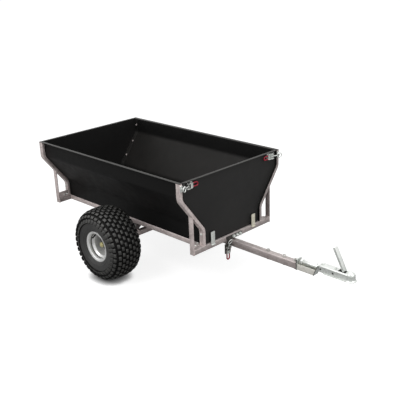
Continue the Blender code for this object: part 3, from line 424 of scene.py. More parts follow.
# What each finish is called here, its slot in the record and its material
FINISH, SLOTS = {}, {}
for key, slot, made in (
        ("black", "black_powder_coat", powder_coat("black_powder_coat", 0.62)),
        # Lighter copy of the black coat: painted sheen, standing in for the light that the gate panel reflects.
        ("gate", "black_powder_coat", powder_coat("black_powder_coat_gate", 2.7)),
        ("galvanised", "galvanised_steel", galvanised("galvanised_steel", 1.0, 0.12)),
        # Darker copy with paler tops: painted half shade on the far front post and upright, the cross members and
        # the drawbar tube.
        ("half_shade", "galvanised_steel", galvanised("galvanised_dull", 0.60, 0.18)),
        # Darker copy of the zinc: painted shade on the sides of the drawbar latch's lever, and the tone of the
        # bolts inside the tub.
        ("grey", "zinc_plate", galvanised("galvanised_grey", 0.50, 0.20)),
        # Much darker copy: painted deep shade on the pivot ears and lugs behind the wheels.
        ("shade", "galvanised_steel", galvanised("galvanised_axle", 0.22, 0.10)),
        ("zinc", "zinc_plate", zinc_plate()),
        ("head", "zinc_plate", warm_zinc()),
        ("worn", "dark_steel", worn_steel()),
        ("yellow", "yellow_zinc", yellow_zinc()),
        ("cream", "yellow_zinc", faded_zinc()),
        # Dark steel, also used as painted shade in hollows and gaps.
        ("dark", "dark_steel", dark_steel()),
        # Darker silver: painted shade in the dish and the groove below the bead seat.
        ("web", "rim_silver", rim_painted_shade()),
        ("silver", "rim_silver", rim_silver()),
        ("rubber", "tyre_rubber", knob_rubber()),
        # Near-black rubber: painted shade on the tread, and the valve stem's own colour.
        ("gap", None, gap_rubber()),
        ("sidewall", "tyre_rubber", sidewall_rubber()),
        ("red", None, red_vinyl())):
    FINISH[key] = made
    if slot:
        SLOTS[key] = slot


# Lines

def arc(centre, radius, start, end, steps):
    turn = (end - start) / steps
    return [(centre[0] + radius * math.cos(start + turn * i),
             centre[1] + radius * math.sin(start + turn * i)) for i in range(steps + 1)]


def filleted(corners, radii, steps):
    """Open path with each inner corner rounded by its own radius."""
    points = [corners[0]]
    for i in range(1, len(corners) - 1):
        here = Vector(corners[i])
        before = (Vector(corners[i - 1]) - here).normalized()
        after = (Vector(corners[i + 1]) - here).normalized()
        half = before.angle(after) / 2
        middle = here + (before + after).normalized() * (radii[i] / math.sin(half))
        first = here + before * (radii[i] / math.tan(half)) - middle
        last = here + after * (radii[i] / math.tan(half)) - middle
        start = math.atan2(first.y, first.x)
        sweep = math.remainder(math.atan2(last.y, last.x) - start, 2 * math.pi)
        points += arc(middle, radii[i], start, start + sweep, steps)
    return points + [corners[-1]]


def smoothed(points, steps):
    """Points of a smooth line through the given ones."""
    path = [Vector(p) for p in points]
    path = [path[0] * 2 - path[1]] + path + [path[-1] * 2 - path[-2]]
    made = []
    for i in range(1, len(path) - 2):
        a, b, c, d = path[i - 1:i + 3]
        for k in range(steps):
            t = k / steps
            made.append(0.5 * (2 * b + (c - a) * t + (2 * a - 5 * b + 4 * c - d) * t ** 2
                               + (3 * b - a - 3 * c + d) * t ** 3))
    return made + [path[-2]]


def mirror(points):
    """Points of (radius, distance) on the other side of a wheel, in the opposite order."""
    return [(r, -h) for r, h in reversed(points)]


def side_corners(offset):
    """Corners of the side's outer face, moved outwards by an offset."""
    moved = []
    for i, corner in enumerate(SIDE_CORNERS):
        runs = [Vector(SIDE_CORNERS[b]) - Vector(SIDE_CORNERS[a])
                for a, b in ((i - 1, i), (i, i + 1)) if a >= 0 and b < len(SIDE_CORNERS)]
        sides = [Vector((run.y, -run.x)).normalized() for run in runs]
        shift = sides[0]
        if len(sides) == 2:
            shift = (sides[0] + sides[1]) / (1 + sides[0].dot(sides[1]))
        moved.append(tuple(Vector(corner) + shift * offset))
    return moved


# Meshes

def linked(name, data):
    """New object in the scene."""
    made = bpy.data.objects.new(name, data)
    bpy.context.scene.collection.objects.link(made)
    return made


def object_of(name, mesh, *finishes):
    mesh.materials.clear()
    for finish in finishes:
        mesh.materials.append(FINISH[finish])
    return linked(name, mesh)


def worked_out(source):
    """Mesh of an object with its modifiers worked out."""
    graph = bpy.context.evaluated_depsgraph_get()
    graph.update()
    return bpy.data.meshes.new_from_object(source.evaluated_get(graph))


def flattened(source, angle=35):
    """The object with its modifiers worked out, smooth but for its creases."""
    mesh = worked_out(source)
    source.modifiers.clear()
    source.data = mesh
    mesh.shade_smooth()
    mesh.set_sharp_from_angle(angle=math.radians(angle))
    return source


def seated(piece, body, finish, *nodes):
    """Give a finished piece to its body, in place of the solids that it stands for."""
    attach(piece, body)
    if nodes:
        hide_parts(*nodes)
    return piece


def faced(piece, finish, chosen):
    """Give another finish to the faces that a test of (middle, normal) picks."""
    piece.data.materials.append(FINISH[finish])
    for face in piece.data.polygons:
        if chosen(face.center, face.normal):
            face.material_index = len(piece.data.materials) - 1
    return piece


def rounded_edges(piece, width, segments=2, angle=40):
    edge = piece.modifiers.new("edge", "BEVEL")
    edge.width = width
    edge.segments = segments
    edge.limit_method = "ANGLE"
    edge.angle_limit = math.radians(angle)
    return piece


def refined(node, finish, width=0.0007, angle=40):
    """Copy of a solid with its flat faces merged and its edges broken."""
    mesh = bpy.data.meshes.new(node + "_finished")
    work = bmesh.new()
    work.from_mesh(frame["nodes"][node].data)
    bmesh.ops.remove_doubles(work, verts=work.verts, dist=0.00001)
    bmesh.ops.dissolve_limit(work, angle_limit=math.radians(0.5), verts=work.verts,
                             edges=work.edges)
    work.to_mesh(mesh)
    work.free()
    piece = flattened(rounded_edges(object_of(node + "_finished", mesh, finish), width, 2, angle))
    return seated(piece, body_of[node], finish, node)


def outwards(mesh, closing=False):
    """Merge doubles and turn the faces out, with the open ends closed first if asked."""
    work = bmesh.new()
    work.from_mesh(mesh)
    if closing:
        bmesh.ops.holes_fill(work, edges=work.edges, sides=0)
    bmesh.ops.remove_doubles(work, verts=work.verts, dist=0.000002)
    bmesh.ops.recalc_face_normals(work, faces=work.faces)
    work.to_mesh(mesh)
    work.free()


def lofted(name, rings, *finishes):
    """Skin over closed rings of points that all have the same count."""
    mesh = bpy.data.meshes.new(name)
    count = len(rings[0])
    points = [p for ring in rings for p in ring]
    faces = []
    for i in range(len(rings) - 1):
        for j in range(count):
            k = (j + 1) % count
            faces.append((i * count + j, i * count + k, (i + 1) * count + k, (i + 1) * count + j))
    mesh.from_pydata(points, [], faces)
    return object_of(name, mesh, *finishes)


def spun(name, profile, centre, finish, steps=96, axis="Y"):
    """Closed profile of (radius, distance) turned about an axis through a centre."""
    rings = []
    for i in range(steps):
        angle = 2 * math.pi * i / steps
        ring = []
        for radius, distance in profile:
            place = [radius * math.cos(angle), radius * math.sin(angle)]
            place.insert("XYZ".index(axis), distance)
            ring.append([a + b for a, b in zip(centre, place)])
        rings.append(ring)
    piece = lofted(name, rings + [rings[0]], finish)
    outwards(piece.data)
    return piece


def solid(name, loop, low, high, finish):
    """Flat outline of (x, y) pushed up between two heights."""
    piece = lofted(name, [[(x, y, z) for x, y in loop] for z in (low, high)], finish)
    outwards(piece.data, closing=True)
    return piece


def boxed(name, low, high, finish):
    loop = [(low[0], low[1]), (high[0], low[1]), (high[0], high[1]), (low[0], high[1])]
    return solid(name, loop, low[2], high[2], finish)


def wire(name, path, radius, finish, closed=False, sides=4):
    """Round bar along a path."""
    curve = bpy.data.curves.new(name, "CURVE")
    curve.dimensions = "3D"
    curve.bevel_depth = radius
    curve.bevel_resolution = sides
    curve.use_fill_caps = True
    spline = curve.splines.new("POLY")
    spline.points.add(len(path) - 1)
    for point, place in zip(spline.points, path):
        point.co = (*place, 1.0)
    spline.use_cyclic_u = closed
    source = linked(name + "_line", curve)
    mesh = worked_out(source)
    bpy.data.objects.remove(source)
    outwards(mesh)
    return flattened(object_of(name, mesh, finish))


def carved(target, joined, removed):
    """Work out unions, then cuts."""
    for tools, operation in ((joined, "UNION"), (removed, "DIFFERENCE")):
        for tool in tools:
            step = target.modifiers.new(operation, "BOOLEAN")
            step.operation = operation
            step.solver = "EXACT"
            step.object = tool
    flattened(target)
    for tool in joined + removed:
        bpy.data.objects.remove(tool)
    return target


def merged(target, others):
    """Put several meshes into the target's."""
    work = bmesh.new()
    for item in [target] + others:
        work.from_mesh(item.data)
    work.to_mesh(target.data)
    work.free()
    for item in others:
        bpy.data.objects.remove(item)
    return target


# Geometry Nodes: what repeats

def made_tree(name, inputs):
    """Empty geometry tree with its named inputs: the graph, and its inputs by name."""
    tree = bpy.data.node_groups.new(name, "GeometryNodeTree")
    tree.interface.new_socket("Geometry", in_out="INPUT", socket_type="NodeSocketGeometry")
    for label, (kind, value) in inputs.items():
        socket = tree.interface.new_socket(label, in_out="INPUT", socket_type="NodeSocket" + kind)
        socket.default_value = value
    tree.interface.new_socket("Geometry", in_out="OUTPUT", socket_type="NodeSocketGeometry")
    graph = Graph(tree)
    sockets = graph.add("NodeGroupInput").outputs
    return graph, {socket.name: Number(graph, socket) for socket in sockets}


def ended(graph, geometry, finish, smooth=True):
    """Close a tree with real geometry and its material."""
    shaded = graph.add("GeometryNodeSetShadeSmooth", {"Geometry": geometry,
                                                      "Shade Smooth": smooth})
    real = graph.add("GeometryNodeRealizeInstances", {"Geometry": shaded})
    dressed = graph.add("GeometryNodeSetMaterial", {"Geometry": real, "Material": FINISH[finish]})
    graph.add("NodeGroupOutput", {"Geometry": dressed})
    return graph.tree


def copied(graph, points, shape, rotation, scale):
    """One copy of a shape on every point."""
    return graph.add("GeometryNodeInstanceOnPoints", {"Points": points, "Instance": shape,
                                                      "Rotation": rotation, "Scale": scale})


def drawn(graph, seed, low, high):
    """A random number for each copy."""
    made = graph.add("FunctionNodeRandomValue", {"Seed": seed})
    made.inputs[2].default_value = low
    made.inputs[3].default_value = high
    return made.outputs[1]


def grown(name, mesh, tree, finish, **sizes):
    """Run a tree on a mesh and keep the result as a plain mesh."""
    source = object_of(name, mesh)
    step = source.modifiers.new("rule", "NODES")
    step.node_group = tree
    for item in tree.interface.items_tree:
        if item.in_out == "INPUT" and item.name in sizes:
            step[item.identifier] = sizes[item.name]
    made = worked_out(source)
    bpy.data.objects.remove(source)
    return object_of(name, made, finish)


def seats_mesh(name, seats):
    """Points with the way that each one faces, for a tree to read."""
    mesh = bpy.data.meshes.new(name)
    mesh.from_pydata([tuple(place) for place, facing in seats], [], [])
    mesh.attributes.new("facing", "FLOAT_VECTOR", "POINT")
    for i, (place, facing) in enumerate(seats):
        mesh.attributes["facing"].data[i].vector = Vector(facing).normalized()
    return mesh


def seat_turn(graph):
    """Rotation that a tree reads from the seats."""
    facing = graph.add("GeometryNodeInputNamedAttribute", {"Name": "facing"},
                       data_type="FLOAT_VECTOR")
    return graph.add("FunctionNodeAlignRotationToVector", {"Vector": facing}, axis="Z")


def hex_head(graph):
    """Washer, hex head with a chamfered crown, and thread end, for a thread of 1."""
    parts = graph.add("GeometryNodeJoinGeometry")
    for kind, height, sizes in (
            ("Cylinder", 0.32, {"Vertices": 6, "Radius": 0.95, "Depth": 0.50}),
            ("Cone", 0.57, {"Vertices": 6, "Radius Top": 0.80, "Radius Bottom": 0.95,
                            "Depth": 0.14}),
            ("Cylinder", 0.07, {"Vertices": 20, "Radius": 1.12, "Depth": 0.14}),
            ("Cone", 0.71, {"Vertices": 12, "Radius Top": 0.38, "Radius Bottom": 0.46,
                            "Depth": 0.12})):
        shape = graph.add("GeometryNodeMesh" + kind, sizes)
        lifted = graph.add("GeometryNodeTransform", {"Geometry": shape,
                                                     "Translation": (0, 0, height)})
        graph.tree.links.new(lifted.outputs[0], parts.inputs[0])
    return parts


def bolt_tree():
    """Hex bolt on every seat, each turned by its own chance."""
    graph, given = made_tree("hex_bolts", {"Thread": ("Float", 0.008),
                                           "Stretch": ("Float", 1.0), "Turn Seed": ("Int", 4)})
    own = graph.add("FunctionNodeAxisAngleToRotation", {
        "Axis": (0, 0, 1), "Angle": drawn(graph, given["Turn Seed"], 0.0, 1.0)})
    whole = graph.add("FunctionNodeRotateRotation", {"Rotation": seat_turn(graph),
                                                     "Rotate By": own}, rotation_space="LOCAL")
    thread = given["Thread"]
    size = graph.vector(thread, thread, thread * given["Stretch"])
    heads = copied(graph, given["Geometry"], hex_head(graph), whole, size)
    return ended(graph, heads, "zinc", smooth=False)


def rivet_tree():
    """Low domed rivet head on every seat."""
    graph, given = made_tree("domed_rivets", {"Radius": ("Float", 0.0032),
                                              "Dome": ("Float", 0.55)})
    ball = graph.add("GeometryNodeMeshUVSphere", {"Segments": 14, "Rings": 8, "Radius": 1.0})
    dome = graph.add("GeometryNodeTransform", {"Geometry": ball,
                                               "Scale": graph.vector(1.0, 1.0, given["Dome"])})
    heads = copied(graph, given["Geometry"], dome, seat_turn(graph), given["Radius"])
    return ended(graph, heads, "zinc")


def weld_tree():
    """Small overlapping ripples along every edge, as a welding torch leaves them."""
    graph, given = made_tree("weld_ripples", {"Pitch": ("Float", 0.0032),
                                              "Bead": ("Float", 0.0030), "Seed": ("Int", 7)})
    line = graph.add("GeometryNodeMeshToCurve", {"Mesh": given["Geometry"]})
    spots = graph.add("GeometryNodeResampleCurve", {"Curve": line}, mode="LENGTH")
    graph.feed(spots.inputs["Length"], given["Pitch"])
    along = graph.add("GeometryNodeInputTangent")
    turned = graph.add("FunctionNodeAlignRotationToVector", {"Vector": along}, axis="X")
    drop = graph.add("GeometryNodeMeshIcoSphere", {"Radius": 1.0, "Subdivisions": 1})
    width = given["Bead"] * drawn(graph, given["Seed"], 0.85, 1.15)
    size = graph.vector(width * 0.75, width, width)
    return ended(graph, copied(graph, spots, drop, turned, size), "galvanised")


def knob_places(graph, given):
    """Places of the knobs, in rows round the wheel, and the way that each one stands."""
    rows, pitches, widest = given["Rows"], given["Pitches"], given["Widest"]
    spots = graph.add("GeometryNodePoints", {"Count": rows * pitches})
    index = Number(graph, graph.add("GeometryNodeInputIndex"))
    row = ((index + 0.5) / pitches).floor()
    step = index - row * pitches
    angle = (step + row % 2.0 * 0.5) / pitches * (2 * math.pi)
    middle = (rows - 1.0) / 2.0
    evenly = (row - middle) / middle
    far = abs(evenly) ** ROW_SPREAD * given["Reach"]
    share = far * evenly.sign()
    fall = (1.0 - far ** CROWN_POWER) ** (1 / CROWN_POWER)
    radius = widest + (given["Crown"] - widest) * fall
    cosine, sine = angle.cosine(), angle.sine()
    place = graph.vector(radius * cosine, given["Half Width"] * share, radius * sine)
    set_out = graph.add("GeometryNodeSetPosition", {"Geometry": spots, "Position": place})
    return set_out, knob_turn(graph, far, share, cosine, sine)


def knob_turn(graph, far, share, cosine, sine):
    """Rotation of a knob that stands square to the tyre, leaning over towards its shoulder."""
    lean = far ** LEAN_POWER * FULL_LEAN * share.sign()
    up = lean.cosine()
    out = graph.vector(up * cosine, lean.sine(), up * sine)
    round_way = graph.vector(sine * -1.0, 0.0, cosine)
    return graph.add("FunctionNodeAxesToRotation", {"Primary Axis": out,
                                                    "Secondary Axis": round_way},
                     primary_axis="Z", secondary_axis="X")


def knob_block(graph):
    """Block of 1 that narrows towards its top and is a little domed there."""
    block = graph.add("GeometryNodeMeshCube", {"Vertices X": 3, "Vertices Y": 3,
                                               "Vertices Z": 3})
    x, y, z = graph.parts(graph.add("GeometryNodeInputPosition"))
    height = z + 0.5
    taper = 1.0 - height * height * KNOB_TAPER
    fall = (x * x + y * y) * -KNOB_DOME
    shaped = graph.vector(x * taper, y * taper, z + fall * height)
    return graph.add("GeometryNodeSetPosition", {"Geometry": block, "Position": shaped})


def tread_tree():
    """Rubber knobs in rows round the wheel, every second row moved on by half a pitch."""
    graph, given = made_tree("knobby_tread", {
        "Rows": ("Int", 9), "Pitches": ("Int", 36), "Crown": ("Float", 0.268),
        "Widest": ("Float", WIDEST), "Half Width": ("Float", 0.121), "Reach": ("Float", 0.93),
        "Knob Length": ("Float", 0.0325), "Knob Width": ("Float", 0.0240),
        "Knob Height": ("Float", KNOB_HEIGHT), "Seed": ("Int", 3)})
    places, turned = knob_places(graph, given)
    sway = drawn(graph, given["Seed"], 0.96, 1.03)
    scale = graph.vector(given["Knob Length"] * sway, given["Knob Width"] * sway,
                         given["Knob Height"] * 2.0)
    knobs = copied(graph, places, knob_block(graph), turned, scale)
    return ended(graph, knobs, "rubber", smooth=False)


BOLTS = bolt_tree()
RIVETS = rivet_tree()
WELDS = weld_tree()
TREAD = tread_tree()


# Tub

def side_fold():
    """Both faces of a folded side sheet as one closed loop of (y, z)."""
    lip_edge = side_corners(0.0)[3][0] + LIP
    loops = []
    for depth, top, lip_bend in ((0.0, RIM_TOP - SHEET, 0.0022), (-SHEET, RIM_TOP, 0.0052)):
        corners = side_corners(depth)
        corners[0] = (corners[0][0], FRAME_TOP + PLAY)
        corners[3] = (corners[3][0], top)
        corners.append((lip_edge, top))
        radii = [0, LOWER_BEND - depth, UPPER_BEND + depth, lip_bend, 0]
        loops.append(filleted(corners, radii, BEND_STEPS))
    return loops[0] + loops[1][::-1]


def make_side_panel(label, side):
    """Folded sheet with its rolled lip."""
    rings = [[(x, side * y, z) for y, z in side_fold()] for x in (REAR_X, FRONT_X)]
    sheet = lofted("side_panel_" + label + "_sheet", rings, "black")
    outwards(sheet.data, closing=True)
    rounded_edges(sheet, 0.0006, 2, 60)
    flattened(sheet)
    seated(sheet, "tub", "black", "side_panel_" + label)


def upright_line(offset):
    corners = side_corners(offset)
    return filleted(corners, [0, LOWER_BEND - offset, UPPER_BEND + offset, 0], BEND_STEPS)


def upright_section():
    """Rounded section: place along x, which line it hangs on (0 inner, 1 outer), rise from it."""
    flat = TUBE / 2 - UPRIGHT_CORNER
    section = []
    for x, line, start in ((flat, 1, 0), (-flat, 1, 90), (-flat, 0, 180), (flat, 0, 270)):
        inset = -UPRIGHT_CORNER if line else UPRIGHT_CORNER
        for i in range(5):
            angle = math.radians(start + 90 * i / 4)
            section.append((x + UPRIGHT_CORNER * math.cos(angle), line,
                            UPRIGHT_CORNER * math.sin(angle) + inset))
    return section


def make_upright(end, x, label, side):
    """Bent tube: its section swept along both bends."""
    rings = []
    for near, far in zip(upright_line(PLAY), upright_line(UPRIGHT_DEPTH)):
        near, far = Vector(near), Vector(far)
        way = (far - near).normalized()
        ring = []
        for along, line, rise in upright_section():
            point = near + (far - near) * line + way * rise
            ring.append((x + along, side * point.x, point.y))
        rings.append(ring)
    # The far front upright gets painted half shade.
    finish = "half_shade" if (end, label) == ("front", "left") else "galvanised"
    tube = lofted("upright_" + end + "_" + label + "_tube", rings, finish)
    outwards(tube.data)
    wall = tube.modifiers.new("wall", "SOLIDIFY")
    wall.thickness = UPRIGHT_WALL
    flattened(tube)
    seated(tube, "tub", finish, "upright_" + end + "_" + label)


def make_frame():
    """Rails, cross members, posts and the plates that join them."""
    for node in ("rail_left", "rail_right", "post_front_right", "post_rear_left",
                 "post_rear_right"):
        refined(node, "galvanised", 0.0006, 60)
    # Painted half shade on the cross members and the far front post.
    for node in ("cross_member_front", "cross_member_rear", "post_front_left"):
        refined(node, "half_shade", 0.0006, 60)
    # The pivot ears get painted deep shade.
    for node, finish in (("gusset_front", "galvanised"), ("gusset_rear", "galvanised"),
                         ("pivot_ear", "shade")):
        for label in ("left", "right"):
            refined(node + "_" + label, finish, 0.0006)


def make_gate_fittings():
    for label, finish in (("left", "cream"), ("right", "zinc")):
        refined("gate_bracket_" + label, finish, 0.0006)
        refined("keeper_" + label, "zinc", 0.0005)
    refined("latch_hook", "dark", 0.0006)
    # The gate panel takes the lighter black coat, its painted sheen.
    refined("gate_panel", "gate", 0.0006, 60)


def make_tub():
    for label, side in SIDES:
        make_side_panel(label, side)
    for end, x in (("front", FRONT_X - TUBE / 2), ("rear", REAR_X + TUBE / 2)):
        for label, side in SIDES:
            make_upright(end, x, label, side)
    for node in ("rear_panel", "floor_sheet"):
        refined(node, "black", 0.0006, 60)
    make_frame()
    make_gate_fittings()


# Chassis

def plate_face_in_painted_shade(middle, normal):
    """Whether a face is a side edge or the underside of a plate that stands across the drawbar, where shade is
    painted.
    """
    return abs(normal.y) > 0.5 or normal.z < -0.5


def make_axle():
    refined("axle_beam", "galvanised", 0.0007, 60)
    for label in ("left", "right"):
        faced(refined("stub_axle_" + label, "galvanised", 0.0005), "yellow",
              lambda middle, normal: abs(middle.y) > THREAD_Y)
        # The pivot lugs get painted deep shade.
        refined("pivot_lug_" + label, "shade", 0.0005)
        refined("axle_nut_" + label, "yellow", 0.0008)
        refined("pivot_bolt_" + label, "zinc", 0.0005)


def make_swivel_head():
    # Painted shade on the plates' side edges and undersides, in the gaps between head, plates and coupler.
    faced(refined("drawbar_end_plate", "zinc", 0.0008), "dark", plate_face_in_painted_shade)
    refined("drawbar_head", "head", 0.0005, 60)
    faced(refined("head_front_plate", "zinc", 0.0006), "dark", plate_face_in_painted_shade)
    refined("swivel_sleeve", "zinc", 0.0005, 60)


def make_chassis():
    # The drawbar tube gets painted half shade, with painted light paler on its top.
    refined("drawbar_tube", "half_shade", 0.0007, 60)
    make_axle()
    make_swivel_head()


# Wheels

def tyre_loop(crown):
    """Closed section of the carcass, (radius, distance), with ribs on the sidewall."""
    lip, lip_half = 0.1200, 0.1085
    half = []
    for i in range(13):
        share = i / 12 * CROWN_SHARE
        fall = (1 - share ** CROWN_POWER) ** (1 / CROWN_POWER)
        half.append((WIDEST + (crown - WIDEST) * fall, SHOULDER_HALF * share))
    shoulder = half[-1]
    for i in range(1, 9):
        angle = math.radians(90) * i / 8
        half.append((WIDEST + (shoulder[0] - WIDEST) * math.cos(angle),
                     shoulder[1] + (SHOULDER_HALF - shoulder[1]) * math.sin(angle)))
    for i in range(1, 25):
        share = i / 24
        bulge = lip_half + (SHOULDER_HALF - lip_half) * (1 - share ** 2.2)
        half.append((WIDEST + (lip - WIDEST) * share, bulge + RIBS.get(i, 0.0)))
    half += [(0.1165, 0.1045), (0.1060, 0.0965), (0.1024, 0.0945), (0.1024, 0.0850)]
    half += [(0.1250, 0.0850), (0.1900, 0.1120), (0.2450, 0.0950), (0.2580, 0.0400)]
    return mirror(half[1:]) + half


def rim_loop(side):
    """Closed section of the deep-dished rim, its web and its hub tube."""
    bead = [(0.1180, 0.1062), (0.1176, 0.1046), (0.1160, 0.1036), (0.1100, 0.1030),
            (0.1040, 0.1012), (0.1016, 0.0975), (0.1010, 0.0930)]
    back = [(0.1008, 0.0800), (0.1004, 0.0765), (0.0990, 0.0735), (0.0905, 0.0640),
            (0.0872, 0.0600), (0.0862, 0.0560), (0.0860, 0.0500), (0.0860, -0.0180),
            (0.0866, -0.0230), (0.0900, -0.0290), (0.0985, -0.0450), (0.1004, -0.0500),
            (0.1008, -0.0560)]
    flange = [(0.0985, 0.0990), (0.1000, 0.1028), (0.1040, 0.1050), (0.1155, 0.1066),
              (0.1170, 0.1070)]
    inside = [(0.0978, -0.0560), (0.0955, -0.0475), (0.0870, -0.0310), (0.0838, -0.0240),
              (0.0830, -0.0180)]
    web = [(0.0830, 0.0010), (0.0822, 0.0035), (0.0800, 0.0048), (0.0740, 0.0038),
           (0.0620, -0.0010), (0.0500, -0.0050), (0.0380, -0.0058), (0.0300, -0.0048),
           (0.0244, -0.0040)]
    hub = [(0.0240, -0.0500), (0.0136, -0.0500), (0.0136, 0.0420), (0.0233, 0.0420),
           (0.0240, 0.0413)]
    front = [(r, h + RIM_WALL) for r, h in web[::-1]]
    dish = [(0.0830, 0.0100), (0.0830, 0.0520), (0.0835, 0.0575), (0.0850, 0.0618),
            (0.0885, 0.0660), (0.0965, 0.0752), (0.0978, 0.0790), (0.0982, 0.0850)]
    loop = bead + back + mirror(bead) + mirror(flange) + inside + web + hub + front + dish + flange
    return [(r, side * h) for r, h in loop]


def under_knobs(place):
    """Whether a place on the carcass lies between the knobs."""
    return math.hypot(place.x, place.z) > SHOULDER_RADIUS and abs(place.y) < SHOULDER_HALF


def knob_flank(place, normal):
    """Whether a face of a knob looks along the tyre and not out."""
    out = Vector((place.x, 0, place.z)).normalized()
    lean = min(1.0, abs(place.y) / SHOULDER_HALF) ** LEAN_POWER * FULL_LEAN
    out = out * math.cos(lean) + Vector((0, math.copysign(math.sin(lean), place.y), 0))
    return normal.dot(out) < 0.45


def dish_bottom(place, normal):
    """Whether a face of the rim is in the disc of the dish or the groove below its bead seat, where shade is
    painted.
    """
    radius, depth = math.hypot(place.x, place.z), abs(place.y)
    inwards = normal.x * place.x + normal.z * place.z < 0
    return (depth < 0.012 and abs(normal.y) > 0.6
            or inwards and 0.0960 < radius < 0.0981 and 0.074 < depth < 0.084)


def make_carcass(label, centre):
    carcass = spun("tyre_" + label + "_carcass", tyre_loop(centre.z - KNOB_HEIGHT), centre,
                   "sidewall", 144)
    # Painted shade on the carcass between the knobs.
    faced(carcass, "gap", lambda middle, normal: under_knobs(middle - centre))
    return flattened(carcass, 50)


def make_knobs(name, body, centre, sizes):
    """Knobs round a tyre, with painted shade on their flanks."""
    knobs = grown(name, bpy.data.meshes.new(name + "_seed"), TREAD, "rubber", **sizes)
    flattened(rounded_edges(knobs, 0.0012, 1, 50), 40)
    faced(knobs, "gap", knob_flank)
    knobs.data.transform(Matrix.Translation(centre))
    seated(knobs, body, "rubber")


def make_tyre(label, body, centre):
    carcass = make_carcass(label, centre)
    make_knobs("tyre_" + label + "_tread", body, centre, {"Crown": centre.z - KNOB_SINK})
    make_knobs("tyre_" + label + "_shoulder", body, centre,
               {"Crown": centre.z - SHOULDER_SINK, **SHOULDER_LUGS})
    seated(carcass, body, "sidewall", "tyre_" + label)


def make_rim(label, side, body, centre):
    rim = flattened(spun("rim_" + label + "_dish", rim_loop(side), centre, "silver"), 50)
    # Painted shade in the dish's disc and the groove below its bead seat.
    faced(rim, "web", lambda middle, normal: dish_bottom(middle - centre, normal))
    faced(rim, "dark", lambda middle, normal: math.hypot(middle.x - centre.x,
                                                         middle.z - centre.z) < HUB_RADIUS)
    seated(rim, body, "silver", "rim_" + label)


def make_valve_stem(label, side, body, centre):
    """Rubber stem with its cap, set in the slope of the dish and leaning in to the hub."""
    seat_radius, seat_depth = 0.0885, 0.066
    out, lean = math.radians(126), math.radians(25)
    spoke = Vector((math.cos(out), 0, math.sin(out)))
    foot = centre + spoke * seat_radius + Vector((0, side * seat_depth, 0))
    way = Vector((0, side * math.cos(lean), 0)) - spoke * math.sin(lean)
    profile = [(0.0, -0.003), (0.0090, -0.003), (0.0090, 0.001), (0.0060, 0.004),
               (0.0054, 0.026), (0.0042, 0.028), (0.0054, 0.029), (0.0054, 0.040),
               (0.0044, 0.042), (0.0, 0.042)]
    stem = spun("valve_stem_" + label, profile, (0, 0, 0), "gap", 20, "Z")
    turn = way.to_track_quat("Z", "X").to_matrix().to_4x4()
    stem.data.transform(Matrix.Translation(foot) @ turn)
    outwards(stem.data)
    seated(flattened(stem), body, "rubber")


def make_wheels():
    for label, side in SIDES:
        body = "wheel_" + label
        centre = Vector(joints[body + "_roll"]["pos_m"])
        make_tyre(label, body, centre)
        make_rim(label, side, body, centre)
        make_valve_stem(label, side, body, centre)


# Coupler and swivel

def shell_channel():
    """Pressed channel of the shell, still solid."""
    shell = boxed("coupler_shell_pressing", (SHELL_REAR, -SHELL_HALF, SHELL_LOW),
                  (BALL.x - 0.006, SHELL_HALF, SHELL_TOP), "zinc")
    return flattened(rounded_edges(shell, 0.0065, 5))


def shell_dome():
    """Dome over the ball, flared at its foot."""
    profile = [(0.0, DOME_RADIUS)] + arc((0.0, 0.0), DOME_RADIUS, math.pi / 2, 0.0, 14)[1:]
    foot = SHELL_LOW - BALL.z
    profile += [(0.0312, -0.0200), (0.0330, -0.0240), (0.0365, -0.0282), (0.0388, -0.0300),
                (0.0394, -0.0318), (0.0388, foot), (0.0, foot)]
    return spun("dome", profile, BALL, "zinc", 48, "Z")


def shell_lip():
    """Turned lower edge, from between the two bolts to the ball."""
    half, start = SHELL_HALF + 0.006, SHELL_REAR + 0.030
    loop = [(start + 0.012, -half), (BALL.x, -half), (BALL.x, half), (start + 0.012, half),
            (start, half - 0.012), (start, 0.012 - half)]
    return solid("lip", loop, SHELL_LOW, SHELL_LOW + 0.0035, "zinc")


def shell_openings():
    """Hollow under the channel, ball socket, slot for the lever and bolt holes in the sides."""
    inner = SHELL_HALF - SHELL_WALL
    hollow = boxed("hollow", (SHELL_REAR - 0.02, -inner, 0.30),
                   (BALL.x - 0.010, inner, SHELL_TOP - SHELL_WALL), "zinc")
    cup = [(0.0, SOCKET_RADIUS)] + arc((0.0, 0.0), SOCKET_RADIUS, math.pi / 2, 0.0, 10)[1:]
    cup = spun("cup", cup + [(SOCKET_RADIUS, -0.062), (0.0, -0.062)], BALL, "zinc", 40, "Z")
    slot = boxed("slot", (1.218, -0.0180, 0.36), (1.2735, 0.0180, 0.42), "zinc")
    bore = [(0.0, -0.05), (0.0078, -0.05), (0.0078, 0.05), (0.0, 0.05)]
    holes = [spun("hole", bore, (x, 0, 0.351), "zinc", 20) for x in SHELL_BOLTS]
    return [hollow, cup, slot] + holes


def inside_shell(middle, normal):
    """Whether a face lies in the hollow of the shell."""
    return (abs(middle.y) < SHELL_HALF - SHELL_WALL + PLAY
            and middle.z < SHELL_TOP - SHELL_WALL + PLAY and middle.x < BALL.x - 0.009)


def make_shell():
    shell = shell_channel()
    carved(shell, [shell_dome(), shell_lip()], shell_openings())
    rounded_edges(shell, 0.0008, 2, 50)
    flattened(shell, 32)
    # Painted shade: the hollow of the shell is dark, so its bolt holes read dark.
    faced(shell, "dark", inside_shell)
    seated(shell, "coupler", "zinc", "coupler_shell")


def make_spring_clip():
    bend = [(1.0980, -0.0130, 0.3782), (1.0930, -0.0150, 0.3880), (1.0820, -0.0180, 0.3935),
            (1.0710, -0.0205, 0.3870), (1.0650, -0.0220, 0.3740), (1.0660, -0.0225, 0.3620)]
    seated(wire("spring_clip", smoothed(bend, 6), 0.0013, "zinc"), "coupler", "zinc")


